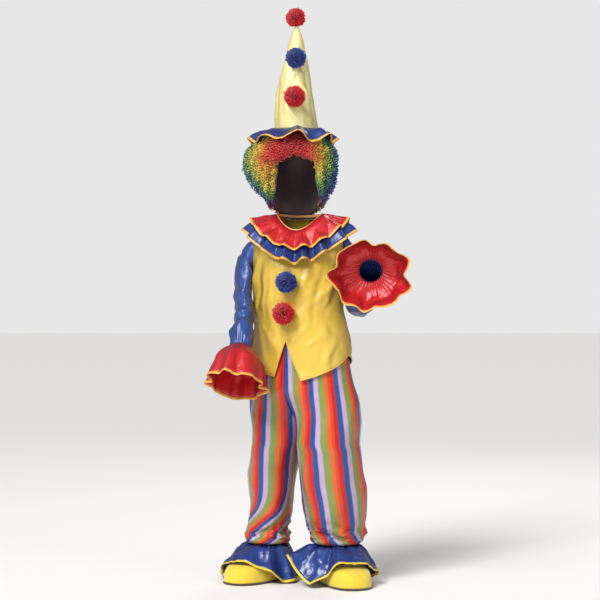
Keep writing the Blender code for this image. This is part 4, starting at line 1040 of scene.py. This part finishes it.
trouserLook = {"thickness": 0.0011, "columns": 138, "hipRows": 48, "perRow": 10, "foldShare": 1.8,
               "crease": 0.065, "crumple": 0.0030, "blouse": 0.0095, "pleats": 23, "pleatHeight": 0.0020,
               "coverZ": -0.450, "coverDepth": 0.0022}
rightStripe = table(  # where the first blue stripe runs down the front of the leg
    "z x", (-0.82, -0.15), (-0.765, -0.12), (-0.74, -0.098), (-0.715, -0.062), (-0.69, -0.048),
    (-0.663, -0.041), (-0.628, -0.0385), (-0.56, -0.0338), (-0.477, -0.029), (-0.397, -0.027),
    (-0.2, -0.02))
leftStripe = table(
    "z x", (-0.82, 0.09), (-0.785, 0.084), (-0.755, 0.0545), (-0.69, 0.0455), (-0.64, 0.0352),
    (-0.56, 0.0288), (-0.477, 0.0238), (-0.38, 0.019), (-0.2, 0.01))
rightLegFolds = table(
    "u0 v0 u1 v1 width height",
    (0.05, 6.0, 0.3, 10.5, 0.9, 0.003),
    (0.2, 9.0, 0.62, 12.5, 0.7, -0.003),
    (0.1, 14.2, 0.5, 15.6, 0.5, 0.0034),
    (0.4, 14.4, 0.85, 15.9, 0.5, -0.003),
    (0.62, 8.0, 0.7, 13.0, 0.8, 0.0028),
    (0.85, 7.0, 0.8, 12.0, 0.8, -0.0026),
    (0.75, 13.5, 0.98, 15.0, 0.6, 0.0032),
)
leftLegFolds = table(
    "u0 v0 u1 v1 width height",
    (0.05, 7.0, 0.22, 11.0, 0.8, 0.003),
    (0.42, 9.5, 0.12, 12.5, 0.6, 0.0032),
    (0.46, 12.0, 0.3, 14.0, 0.6, -0.0034),
    (0.1, 13.8, 0.4, 15.0, 0.5, 0.0034),
    (0.55, 8.0, 0.6, 13.5, 0.8, -0.0028),
    (0.78, 7.0, 0.72, 12.5, 0.8, 0.0028),
    (0.7, 13.5, 0.95, 15.2, 0.6, -0.003),
    (0.46, 6.4, 0.4, 8.6, 0.6, 0.0026),
)


def legGrid(sign, leg, shares, hipZ, steps):
    halfName = "left" if sign > 0 else "right"
    full = shares * 2 * math.pi
    sizeSide, sizeFront = leg["side"][-1], leg["front"][-1]
    rings = []
    for z in hipZ:
        fork = ease((forkTopZ - z) / (forkTopZ - crotchZ))
        halfTurn = shares * math.pi
        depth = np.where(halfTurn < math.pi / 2, along(hipSections, "front", z),
                         along(hipSections, "back", z))
        wide = along(hipSections, halfName, z) * np.sin(halfTurn)
        deep = depth * np.cos(halfTurn)
        wide = wide + (sizeSide * (1 - np.cos(full)) - wide) * fork + seamGap / 2
        deep = deep + (sizeFront * np.sin(full) - deep) * fork
        side, front = turned(along(hipSections, "turn", z))
        centre = np.array([along(hipSections, "centreX", z), 0.0, z])
        rings.append(centre + sign * np.outer(wide, side) + np.outer(deep, front))
    last = len(leg["z"]) - 1
    for step in steps:
        row = {k: spread(v[::-1], np.array([step]))[0] for k, v in leg.items()}
        side, front = turned(row["turn"])
        centre = np.array([row["centreX"], row["centreY"], row["z"]])
        rings.append(centre - sign * row["side"] * np.outer(np.cos(full), side)
                     + row["front"] * np.outer(np.sin(full), front))
    return np.array(rings)


def addLeg(name, sign, leg, stripe, pull, foldRows, node):
    shares = np.linspace(0, 1, trouserLook["columns"] + 1)
    hipZ = np.linspace(hipLevels[0], crotchZ, trouserLook["hipRows"])
    count = len(leg["z"]) - 1
    steps = np.linspace(0, count, count * trouserLook["perRow"] + 1)[1:]
    outer = legGrid(sign, leg, shares, hipZ, steps)
    crotchRow = len(hipZ) - 1
    outer[crotchRow:, -1] = outer[crotchRow:, 0]
    inside = outer.mean(1, keepdims=True)
    facing = facingOf(outer, inside, False, crotchRow)
    level = np.concatenate([np.linspace(0, 8, len(hipZ)), 8 + steps])
    lift = folds(shares[None, :] * 9, level[:, None], scaled(foldRows, ("u0", "u1"), 9))
    calm = ease((outer[..., 2] - leg["z"][1]) / 0.02) * ease(level / 1.5)[:, None]
    seam = 1 - (1 - ease(level / 8))[:, None] * (1 - np.sin(math.pi * shares[None, :]) ** 0.5)
    pleats = np.sin(trouserLook["pleats"] * shares * math.pi * 2 + 2 * np.sin(9 * shares))
    pleats = trouserLook["pleatHeight"] * pleats * np.exp(-((level[:, None] - 15.6) / 0.8) ** 2)
    lift = (lift * trouserLook["foldShare"]
            + crumple(outer, trouserLook["crease"], trouserLook["crumple"], 2, 1.8))
    low = np.exp(-((outer[..., 2] + 0.768) / 0.030) ** 2)
    lift = lift + crumple(outer, 0.046, trouserLook["blouse"], 14 + sign, 0.60) * low
    covered = ease((outer[..., 2] - trouserLook["coverZ"]) / 0.060)  # the tunic lies over this part
    lift = lift * (1 - covered) - trouserLook["coverDepth"] * covered
    outer = outer + facing * (lift * calm * (seam + (1 - seam) * covered)
                             + pleats * (outer[..., 2] < -0.74))[..., None]
    outer[crotchRow:, -1] = outer[crotchRow:, 0]
    run = np.concatenate([np.zeros((len(outer), 1)), np.cumsum(lengths(outer, 1), 1)], 1)
    front = shares < 0.5 if sign < 0 else shares < 0.55
    start = []
    for ring, length in zip(outer, run):
        want = np.interp(ring[:, 2].mean(), stripe["z"], stripe["x"])
        order = np.argsort(ring[front, 0])
        reach = length[front][order]
        start.append(np.interp(want, ring[front, 0][order], reach))
    start = np.array(start)
    start = np.convolve(np.pad(start, 4, mode="edge"), np.ones(9) / 9, mode="valid")
    evened = (np.median(run[:, -1]) / run[:, -1:]) ** 0.5
    across = sign * (run - start[:, None]) * pull * evened
    made, cut, *_ = addCloth(name, outer, inside, trouserLook["thickness"], finishes["striped"],
                             False, crotchRow, across)
    dress(made, [node])


addLeg("trouserLegRight", -1, rightLeg, rightStripe, 1.06, rightLegFolds, "trouser_leg_right")
addLeg("trouserLegLeft", 1, leftLeg, leftStripe, 0.98, leftLegFolds, "trouser_leg_left")


waistLook = {"thickness": 0.0010, "columns": 240, "ribs": 60, "ribHeight": 0.0006}


def addWaistband():
    angle = ringAngles(waistLook["columns"])
    depth = np.where(np.cos(angle) > 0, along(hipSections, "front", waistZ),
                     along(hipSections, "back", waistZ))
    side, front = turned(along(hipSections, "turn", waistZ))
    centre = np.array([along(hipSections, "centreX", waistZ), 0.0, waistZ])
    ring = (centre + np.outer(along(hipSections, "left", waistZ) * np.sin(angle), side)
            + np.outer(depth * np.cos(angle), front))
    rib = waistLook["ribHeight"] + waistLook["ribHeight"] * np.sin(waistLook["ribs"] * angle)
    ring = ring - unit(ring - centre) * rib[:, None]
    up = np.array([0.0, 0.0, waistbandHeight / 8])
    outer = np.array([ring + up * row for row in range(9)])
    made, cut, *_ = addCloth("waistband", outer, centre, waistLook["thickness"], finishes["waist"])
    dress(made, ["trouser_waistband"])


addWaistband()
print("trousers made")


ankleLook = {"thickness": 0.0009, "columns": 320, "rows": 24, "gathers": 22, "gatherHeight": 0.0022,
             "crease": 0.040, "crumple": 0.0030}


def addAnkle(name, ankle, side):
    angles = ringAngles(ankleLook["columns"], -math.pi)
    degrees = np.degrees(angles)
    hem = ankle["hem"]
    reach = curve(hem["towards"], hem["reach"], degrees)
    hemZ = curve(hem["towards"], hem["z"], degrees)
    free = curve(hem["towards"], hem["swing"], degrees)
    outward = outwardOf(angles)
    top = np.array([*ankle["centre"], ankle["gatherZ"] + 0.003])
    rows = np.concatenate([np.linspace(0, 1, 5), np.linspace(1, 3, ankleLook["rows"])[1:]])
    share = {k: spread(v, rows) for k, v in ankleRows.items()}
    out = ankleStart + np.outer(np.maximum(0, share["out"]), reach - ankleStart)
    z = (np.outer(1 - share["down"], np.ones(len(angles))) * -ankleNeck
         + np.outer(share["down"], hemZ - top[2]))
    z = z * ease(np.minimum(rows, 1.0))[:, None] ** 0.5
    mean = top + outward * out[..., None] + z[..., None] * upward
    inside = top - upward * 0.2
    wave = np.sin(ankleWaves * angles + 0.9) * uneven(angles, ankleWaves, 2.1) * free
    wave = wave + 0.25 * np.sin(2 * ankleWaves * angles + 0.4) * free * np.sin(2 * angles)
    gather = np.sin(ankleLook["gathers"] * angles + 2.4 * np.sin(4 * angles)) * ankleLook["gatherHeight"]
    low = np.maximum(0, share["swing"])
    tight = ease((rows - 0.9) / 0.4) * np.exp(-np.maximum(0, rows - 1.2) / 0.8)
    swing = np.outer(ankleSwing * low, wave) + np.outer(tight, gather)
    creases = crumple(mean, ankleLook["crease"], ankleLook["crumple"], 9)
    swing = swing + creases * ease((rows - 1.0) / 0.5)[:, None]
    outer = mean + swing[..., None] * normals(mean, inside, True)
    addRuffle(name, outer, inside, ankleLook, "ankle",
              ("ankle_ruffle_" + side, "ankle_binding_" + side), "ankleEdge")


shoeLook = {"thickness": 0.0013, "columns": 120, "rows": 36}


def footRings(ankle, margin, count):
    angle = ringAngles(count)
    towards = math.radians(ankle["toeOut"])
    forward = np.array([math.sin(towards), -math.cos(towards), 0.0])
    sideways = np.array([math.cos(towards), math.sin(towards), 0.0])
    middle = (footToe + footHeel) / 2
    halfLength = (footToe - footHeel) / 2 + margin
    lengthwise = middle + halfLength * np.sign(np.cos(angle)) * abs(np.cos(angle)) ** 0.85
    widthwise = ((footHalfWidth + margin) * np.sign(np.sin(angle)) * abs(np.sin(angle)) ** 0.85
                 * (1 + 0.14 * np.cos(angle)))
    centre = np.array([*ankle["centre"], 0.0])
    ring = centre + coverAnkle * (np.outer(np.cos(angle), forward) + np.outer(np.sin(angle), sideways))
    outline = centre + np.outer(lengthwise, forward) + np.outer(widthwise, sideways)
    return ring, outline, centre + forward * middle


def addShoe(ankle, side):
    ring, outline, _ = footRings(ankle, 0.0, shoeLook["columns"])
    footZ = floorZ + soleThickness + seamGap
    net = [ring + upward * (ankle["gatherZ"] + coverTop)]
    for share, height in zip(coverRows["spread"], coverRows["height"]):
        net.append(ring + (outline - ring) * share + upward * (footZ + height))
    outer = spread(np.array(net), np.linspace(0, len(net) - 1, shoeLook["rows"]))
    outer[..., 2] = np.maximum(outer[..., 2], footZ)
    made, cut, *_ = addCloth("shoeCover" + side.title(), outer, outer.mean(1, keepdims=True),
                             shoeLook["thickness"], finishes["shoe"])
    dress(made, ["shoe_cover_" + side])
    _, edge, middle = footRings(ankle, soleMargin, shoeLook["columns"])
    rows = [(0.001, 0.0), (0.5, 0.0), (0.97, 0.0), (1.0, 0.0008), (1.0, 0.0042), (0.985, soleThickness),
            (0.5, soleThickness), (0.001, soleThickness)]
    grid = closedGrid(np.array([middle + (edge - middle) * share + upward * (floorZ + height)
                                for share, height in rows]))
    quads = gridQuads(weldedIds(grid))[:, ::-1]
    sole = addMesh("shoeSole" + side.title(), grid.reshape(-1, 3), quads, finishes["sole"], smooth=False)
    dress(sole, ["shoe_sole_" + side])


for ankleSide in ("right", "left"):
    addAnkle("ankleRuffle" + ankleSide.title(), ankles[ankleSide], ankleSide)
    addShoe(ankles[ankleSide], ankleSide)
print("ankles and shoes made")


hatLook = {"thickness": 0.0012, "columns": 112, "rows": 84, "foldShare": 1.5, "crease": 0.046,
           "crumple": 0.0020}
hatFolds = table(
    "u0 v0 u1 v1 width height",
    (-0.02, 0.42, 0.012, 0.345, 0.006, 0.0018),
    (0.02, 0.385, -0.01, 0.32, 0.006, -0.0018),
    (0.004, 0.318, 0.04, 0.262, 0.008, -0.0052),
    (0.022, 0.33, 0.05, 0.292, 0.007, 0.0046),
    (-0.02, 0.275, 0.012, 0.236, 0.008, 0.004),
    (0.004, 0.395, 0.03, 0.366, 0.007, -0.0046),
    (0.01, 0.425, 0.034, 0.398, 0.006, 0.0036),
    (-0.03, 0.36, -0.02, 0.24, 0.009, 0.0024),
    (0.008, 0.33, 0.02, 0.232, 0.008, 0.0022),
    (0.04, 0.37, 0.06, 0.235, 0.008, -0.0022),
    (-0.065, 0.33, -0.055, 0.232, 0.01, -0.0022),
    (0.1, 0.38, 0.11, 0.24, 0.01, 0.0022),
    (-0.11, 0.35, -0.115, 0.235, 0.01, 0.0022),
    (0.14, 0.32, 0.15, 0.235, 0.01, -0.002),
)


def addHat():
    angles = ringAngles(hatLook["columns"], -math.pi)
    heights = np.linspace(hatSections["z"][0], hatSections["z"][-1], hatLook["rows"])
    outer = np.array([hatPoint(z, angles) for z in heights])
    inside = outer.mean(1, keepdims=True)
    facing = normals(outer, inside, True)
    u = np.broadcast_to(angles[None] * 0.0535, outer.shape[:2])
    lift = folds(u, heights[:, None], hatFolds)
    fromFoot, toTip = heights - heights[0], heights[-1] - heights
    lift = lift * ease(fromFoot / 0.01)[:, None] * ease(toTip / 0.08)[:, None]
    ends = ease(fromFoot / 0.01)[:, None] * ease(toTip / 0.05)[:, None]
    lift = lift * hatLook["foldShare"] + crumple(outer, hatLook["crease"], hatLook["crumple"], 5, 2.0) * ends
    outer = outer + facing * lift[..., None]
    made, cut, *_ = addCloth("hatCone", outer, inside, hatLook["thickness"], finishes["hat"])
    dress(made, ["hat_cone"])


brimLook = {"thickness": 0.0009, "columns": 320, "rows": 20, "gathers": 44, "gatherHeight": 0.0008,
            "crease": 0.034, "crumple": 0.0020, "frontWave": 0.010, "lopside": 0.17}


def addBrim():
    angles = ringAngles(brimLook["columns"])
    outward = outwardOf(angles)
    width = brimWidth * (1 - brimLook["lopside"] * np.sin(angles))
    wave = np.sin(brimWaves * angles + 1.2) * uneven(angles, brimWaves, 0.3)
    wave = wave + 0.25 * np.sin(2 * brimWaves * angles + 0.5) * np.sin(2 * angles + 1.0)
    base = np.array([headX, 0.0, hatSections["z"][0] + ruffleWall])
    rows = np.linspace(0, 2, brimLook["rows"])
    share = {k: spread(v, rows) for k, v in brimRows.items()}
    gather = brimLook["gatherHeight"] * np.sin(brimLook["gathers"] * angles + 2 * np.sin(5 * angles))
    mean = (base + outward * (brimStart + np.outer(share["out"], width))[..., None]
            - upward * share["down"][:, None, None])
    swing = np.outer(brimSwing * np.maximum(0, share["swing"]), wave)
    swing = swing + np.outer(ease(rows / 0.2) * np.exp(-rows / 0.6), gather)
    front = (np.exp(-((angles + 0.10) / 0.20) ** 2)
             + np.exp(-((angles + 0.10 - 2 * math.pi) / 0.20) ** 2))
    swing = swing + np.outer(np.maximum(0, share["swing"]), brimLook["frontWave"] * front)
    creases = crumple(mean, brimLook["crease"], brimLook["crumple"], 12)
    swing = swing + creases * ease(rows / 0.5)[:, None]
    below = base - upward * 0.3
    outer = mean + swing[..., None] * normals(mean, below, True)
    addRuffle("hatBrim", outer, below, brimLook, "blue",
              ("hat_brim", "hat_brim_binding"))


addHat()
addBrim()
print("hat made")


# Each colour pair is a lit tip colour and a darker root colour; the root colour is painted shade.
pompomLook = {"strands": 1500, "sections": 4, "yarn": 0.00125,
              "red": ("#F42F3C", "#D21824"), "blue": ("#3D5AB8", "#2A4190")}


def pompomSeat(name):
    place = pompomPlaces[name]
    if name == "hat_pompom_top":
        seat = np.array([hatSections["centreX"][-1] - 0.002, 0.0, hatSections["z"][-1]])
        return seat, np.array([-0.1, 0.0, 0.995])
    if name.startswith("hat"):
        z, step = place["height"], 0.004
        seat = hatPoint(z, np.zeros(1))[0]
        rise = hatPoint(z + step, np.zeros(1))[0] - hatPoint(z - step, np.zeros(1))[0]
        return seat, unit(np.cross(np.array([1.0, 0.0, 0.0]), rise))
    across = place["across"] + np.array([-0.03, 0.0, 0.03])
    foot = np.interp(place["across"], frontHem["across"], frontHem["z"])
    level = (place["height"] - foot) / (chestZ - foot)
    points = tunicPanel(1, across, level + np.array([-0.02, 0.0, 0.02]))[0]
    return points[1, 1], unit(np.cross(points[1, 2] - points[1, 0], points[2, 1] - points[0, 1]))


def sideAxes(directions):
    first = unit(np.cross(directions, np.array([0.31, 0.87, 0.39])))
    return first, np.cross(directions, first)


def tubes(paths, radii, sides):  # paths (count, steps, 3), radii (count, steps)
    count, steps = paths.shape[:2]
    onward = unit(np.gradient(paths, axis=1))
    first, second = sideAxes(onward)
    turns = ringAngles(sides)
    rings = (paths[:, :, None] + radii[:, :, None, None]
             * (first[:, :, None] * np.cos(turns)[:, None] + second[:, :, None] * np.sin(turns)[:, None]))
    ids = np.arange(count * steps * sides).reshape(count, steps, sides)
    ids = np.concatenate([ids, ids[:, :, :1]], 2)
    quads = np.stack([ids[:, :-1, :-1], ids[:, :-1, 1:], ids[:, 1:, 1:], ids[:, 1:, :-1]], -1)
    return rings.reshape(-1, 3), quads.reshape(-1, 4)


def sphereDirections(count):
    index = np.arange(count) + 0.5
    z = 1 - 2 * index / count
    turn = index * math.pi * (3 - math.sqrt(5))
    flat = np.sqrt(1 - z * z)
    return np.stack([flat * np.cos(turn), flat * np.sin(turn), z], -1)


def addPompom(name, node, radius, colourName, seed):
    generator = np.random.default_rng(seed)
    seat, away = pompomSeat(node)
    centre = seat + away * (radius * pompomFlat + pompomGap)
    count, steps = pompomLook["strands"], pompomLook["sections"]
    directions = unit(sphereDirections(count) + generator.normal(0, 0.10, (count, 3)))
    length = radius * generator.uniform(0.86, 1.03, count)
    drop = (directions * away).sum(-1)
    length = np.where(drop < -pompomFlat, radius * pompomFlat / -np.minimum(drop, -0.01), length)
    share = np.linspace(0.62, 1.0, steps)
    bend = generator.normal(0, 0.35, (count, 3))
    paths = centre + (directions[:, None] * share[None, :, None]
                      + bend[:, None] * (share[None, :, None] - 0.62) ** 2) * length[:, None, None]
    low = ((paths - seat) * away).sum(-1)
    paths = paths + away * np.maximum(0, 0.0008 - low)[..., None]
    radii = np.full((count, steps), pompomLook["yarn"]) * np.array([0.9, 1.1, 1.2, 0.9])[None]
    points, quads = tubes(paths, radii, 3)
    light, dark = (np.array(linear(x)) for x in pompomLook[colourName])
    # Strands go from the dark colour at the root to the light colour at the tip: painted shade deep in the
    # pompom, mixed with a random tone per strand.
    rootShadeAndTone = generator.uniform(0, 1, (count, 1, 1)) * 0.5 + np.linspace(0, 0.5, steps)[None, :, None]
    tint = np.broadcast_to((dark + (light - dark) * rootShadeAndTone)[:, :, None], (count, steps, 3, 4)).reshape(-1, 4)
    made = addMesh(name, points, quads, finishes["yarn"], tint=tint)
    dress(made, [node])


for number, (node, place) in enumerate(pompomPlaces.items()):
    words = node.split("_")
    addPompom(words[0] + "".join(w.title() for w in words[1:]), node, place["radius"],
              place["colour"].replace("pompom_", ""), number + 11)
print("pompoms made")


wigLook = {"curls": 720, "edge": 380, "steps": 19, "yarn": 0.0011, "coil": (0.0026, 0.0054),
           "pitch": 0.0064, "length": (0.010, 0.026), "seed": 5, "capInset": -0.012, "capPaintedShade": 0.62,
           "inside": "#57474A",
           "bands": ((0.00, "#D81E24"), (0.27, "#E2262A"), (0.36, "#F2662A"), (0.47, "#F6A030"),
                     (0.58, "#F2CF45"), (0.72, "#E9DA58"), (0.82, "#6FB24C"), (0.93, "#3F8C46"),
                     (1.02, "#2F8A9C"), (1.12, "#2E55A8"), (1.28, "#33459C"), (1.42, "#6A55A8"),
                     (1.58, "#8F7CC0"), (1.70, "#D8383A"))}


def wigTint(angles, z, generator):
    fromFront = (angles + math.pi) % (2 * math.pi) - math.pi
    degrees, right = np.degrees(abs(fromFront)), fromFront > 0
    low = np.maximum(0, 0.150 - z) / 0.150
    share = degrees / np.where(right, 74.0, 88.0) + low * np.where(right, 0.62, 0.42)
    share = share + generator.normal(0, 0.035, share.shape)
    share = np.where((share > 1.62) & (degrees > 112), 0.17 + (share - 1.62) * 1.3, np.minimum(share, 1.62))
    places = np.array([b[0] for b in wigLook["bands"]])
    colours = np.array([linear(b[1]) for b in wigLook["bands"]])
    return np.stack([np.interp(share, places, colours[:, k]) for k in range(4)], -1)


def addWig():
    generator = np.random.default_rng(wigLook["seed"])
    angles = ringAngles(96)
    degrees = (np.degrees(angles) + 180) % 360 - 180
    rim = np.interp(degrees, wigRim["towards"], wigRim["z"])
    flat = np.ones(len(angles))
    rows = [wigRing(wigOuter, 0.2330 * flat, angles, -0.02),
            wigRing(wigOuter, wigHatZ * flat, angles, -0.004)]
    for share in np.linspace(0.05, 1.0, 16):
        rows.append(wigRing(wigOuter, wigHatZ + (rim + wigRound - wigHatZ) * share, angles,
                            wigLook["capInset"] * ease(share / 0.2)))
    inner = [wigRing(headSpace, rim + wigRound + (0.206 - rim - wigRound) * share, angles, 0.001)
             for share in (0.0, 0.3, 0.6, 0.85, 1.0)]
    middle = (rows[-1] + inner[0]) / 2
    middle[:, 2] = rim + 0.002
    grid = closedGrid(np.array(rows + [middle] + inner))
    points = grid.reshape(-1, 3)
    pointAngles = np.arctan2(points[:, 0] - headX, -points[:, 1])
    # painted shade: the cap under the curls is darkened
    shade = np.array([wigLook["capPaintedShade"]] * 3 + [1.0])
    tint = wigTint(pointAngles, points[:, 2], generator) * shade
    tint = tint.reshape(*grid.shape[:2], 4)
    tint[len(rows):] = linear(wigLook["inside"])
    tint = tint.reshape(-1, 4)
    cap = addMesh("wigCap", points, gridQuads(weldedIds(grid)), finishes["curls"], tint=tint)
    dress(cap, ["wig"])
    count, steps = wigLook["curls"], wigLook["steps"]
    edge = wigLook["edge"]
    index = np.arange(count)
    turn = (index * 0.618034 % 1.0) * 2 * math.pi
    curlRim = np.interp((np.degrees(turn) + 180) % 360 - 180, wigRim["towards"], wigRim["z"])
    share = 1 - ((index + 0.5) / count) ** 0.9
    low, high = curlRim + 0.010, 0.205
    z = low + (high - low) * share
    base = wigRing(wigOuter, z, turn, -0.010)
    fine = np.linspace(-math.pi, math.pi, 2001)
    fineRim = np.interp(np.degrees(fine), wigRim["towards"], wigRim["z"])
    line = wigRing(wigOuter, fineRim, fine, -0.010)
    run = np.concatenate([[0.0], np.cumsum(lengths(line, 0))])
    edgeTurn = np.interp(np.linspace(0, run[-1], edge, endpoint=False), run, fine)
    edgeZ = np.interp(np.degrees(edgeTurn), wigRim["towards"], wigRim["z"]) + 0.012
    depth = generator.uniform(0, 1, edge)[:, None]
    edgeBase = (wigRing(wigOuter, edgeZ, edgeTurn, -0.008) * depth
                + wigRing(headSpace, edgeZ, edgeTurn, 0.006) * (1 - depth))
    turn, z, base = (np.concatenate(pair) for pair in ((turn, edgeTurn), (z, edgeZ), (base, edgeBase)))
    count = count + edge
    centre = np.stack([headX + 0 * z, 0 * z, z], -1)
    out = unit(base - centre)
    down = unit(np.array([0.0, 0.0, -1.0]) + generator.normal(0, 0.55, (count, 3)))
    axis = unit(down - out * (down * out).sum(-1, keepdims=True)
                + out * generator.uniform(-0.1, 0.5, (count, 1)))
    length = generator.uniform(*wigLook["length"], count)
    coil = generator.uniform(*wigLook["coil"], count)
    first, second = sideAxes(axis)
    t = np.linspace(0, 1, steps)
    turns = length / wigLook["pitch"] * 2 * math.pi
    phase = generator.uniform(0, 2 * math.pi, count)
    angle = t[None] * turns[:, None] + phase[:, None]
    grow = coil[:, None] * (0.75 + 0.35 * np.sin(math.pi * t)[None])
    start = base + out * generator.uniform(0.000, 0.006, (count, 1)) - axis * length[:, None] * 0.4
    spin = first[:, None] * np.cos(angle)[..., None] + second[:, None] * np.sin(angle)[..., None]
    paths = (start[:, None] + axis[:, None] * (t[None, :, None] * length[:, None, None])
             + spin * grow[..., None])
    towards = np.arctan2(paths[..., 0] - headX, -paths[..., 1])
    lump = 0.004 + (0.004 * np.sin(9 * towards + paths[..., 2] * 150)
                    * np.sin(paths[..., 2] * 210 - 4 * towards))
    reachOut = wigRing(wigOuter, np.clip(paths[..., 2], 0.004, 0.222).reshape(-1), towards.reshape(-1),
                       0.002).reshape(paths.shape)
    flatHere = np.hypot(paths[..., 0] - headX, paths[..., 1])
    flatMost = np.hypot(reachOut[..., 0] - headX, reachOut[..., 1]) + lump
    squeeze = np.minimum(1.0, flatMost / np.maximum(flatHere, 1e-6))
    paths[..., 0] = headX + (paths[..., 0] - headX) * squeeze
    paths[..., 1] = paths[..., 1] * squeeze
    lowest = np.interp(np.degrees(towards), wigRim["towards"], wigRim["z"]) + 0.002
    lowest = lowest - 0.016 * ease((math.radians(56) - abs(towards)) / 0.12)
    paths[..., 2] = np.maximum(paths[..., 2], lowest)
    radii = np.full((count, steps), wigLook["yarn"])
    points, quads = tubes(paths, radii, 3)
    tint = wigTint(turn, z, generator)
    # Painted light and shade: clusters of curls made lighter and darker by a slow wave over the head, on top
    # of a random tone per curl.
    lumpLightAndShade = (np.sin(base @ np.array([310.0, 120.0, 260.0]) + 1.3)
             * np.sin(base @ np.array([-150.0, 280.0, 330.0])))
    shade = generator.uniform(0.80, 1.10, (count, 1)) * (1 + 0.28 * lumpLightAndShade[:, None])
    tint = np.clip(tint * shade, 0, 1)
    tint[:, 3] = 1.0
    tint = np.broadcast_to(tint[:, None, None], (count, steps, 3, 4)).reshape(-1, 4)
    curls = addMesh("wigCurls", points, quads, finishes["curls"], tint=tint)
    dress(curls, [])


addWig()
print("wig made")


stageLook = {"reach": 30, "floor": "#F4F3F1", "sky": "#FFFFFF", "skyStrength": 0.34, "backdrop": 0.80}


def addStage():
    mesh = bpy.data.meshes.new("floor")
    far = stageLook["reach"]
    corners = [(x * far, y * far, floorZ) for x, y in ((-1, -1), (1, -1), (1, 1), (-1, 1))]
    mesh.from_pydata(corners, [], [(0, 1, 2, 3)])
    material, tree, shader = startMaterial("pale floor", 0.9)
    shader.inputs["Base Color"].default_value = linear(stageLook["floor"])
    mesh.materials.append(material)
    linked("floor", mesh)
    world = bpy.data.worlds.new("studio")
    bpy.context.scene.world = world
    world.use_nodes = True
    tree = world.node_tree
    seen = addNode(tree, "ShaderNodeLightPath")
    strength = addNode(tree, "ShaderNodeMix", {0: seen.outputs["Is Camera Ray"], 3: stageLook["backdrop"],
                                               2: stageLook["skyStrength"]}, data_type="FLOAT")
    tree.nodes["Background"].inputs["Color"].default_value = linear(stageLook["sky"])
    tree.links.new(strength.outputs[0], tree.nodes["Background"].inputs["Strength"])


lampLook = {"key": {"place": (-1.6, -2.4, 1.5), "size": 0.7, "power": 34.0},
            "fill": {"place": (2.4, -2.0, 0.3), "size": 1.2, "power": 9.0},
            "rim": {"place": (0.9, 2.2, 1.6), "size": 1.2, "power": 16.0}}
sunLook = {"place": (-1.3, -2.0, 2.6), "spread": 24.0, "power": 2.1}


def aim(made, place, target):
    forward = unit(np.array(target, float) - np.array(place, float))
    made.location = place
    made.rotation_euler = (math.acos(-forward[2]), 0.0, math.atan2(-forward[0], forward[1]))


def addLamps():
    for name, lamp in lampLook.items():
        data = bpy.data.lights.new(name, "AREA")
        data.shape = "DISK"
        data.size = lamp["size"]
        data.energy = lamp["power"]
        made = linked(name, data)
        aim(made, lamp["place"], (0.0, 0.0, -0.15))
    sun = bpy.data.lights.new("sun", "SUN")
    sun.energy = sunLook["power"]
    sun.angle = math.radians(sunLook["spread"])
    made = linked("sun", sun)
    aim(made, sunLook["place"], (0.0, 0.0, 0.0))


cameraLook = {"place": (0.0, -4.0, -0.191), "lens": 97.96, "sensor": 36.0}


def addCamera():
    data = bpy.data.cameras.new("camera")
    data.lens = cameraLook["lens"]
    data.sensor_width = cameraLook["sensor"]
    made = linked("camera", data)
    aim(made, cameraLook["place"], (0.0, 0.0, cameraLook["place"][2]))
    bpy.context.scene.camera = made


addStage()
addLamps()
addCamera()
bpy.context.scene.view_settings.view_transform = "Standard"
print("stage made")
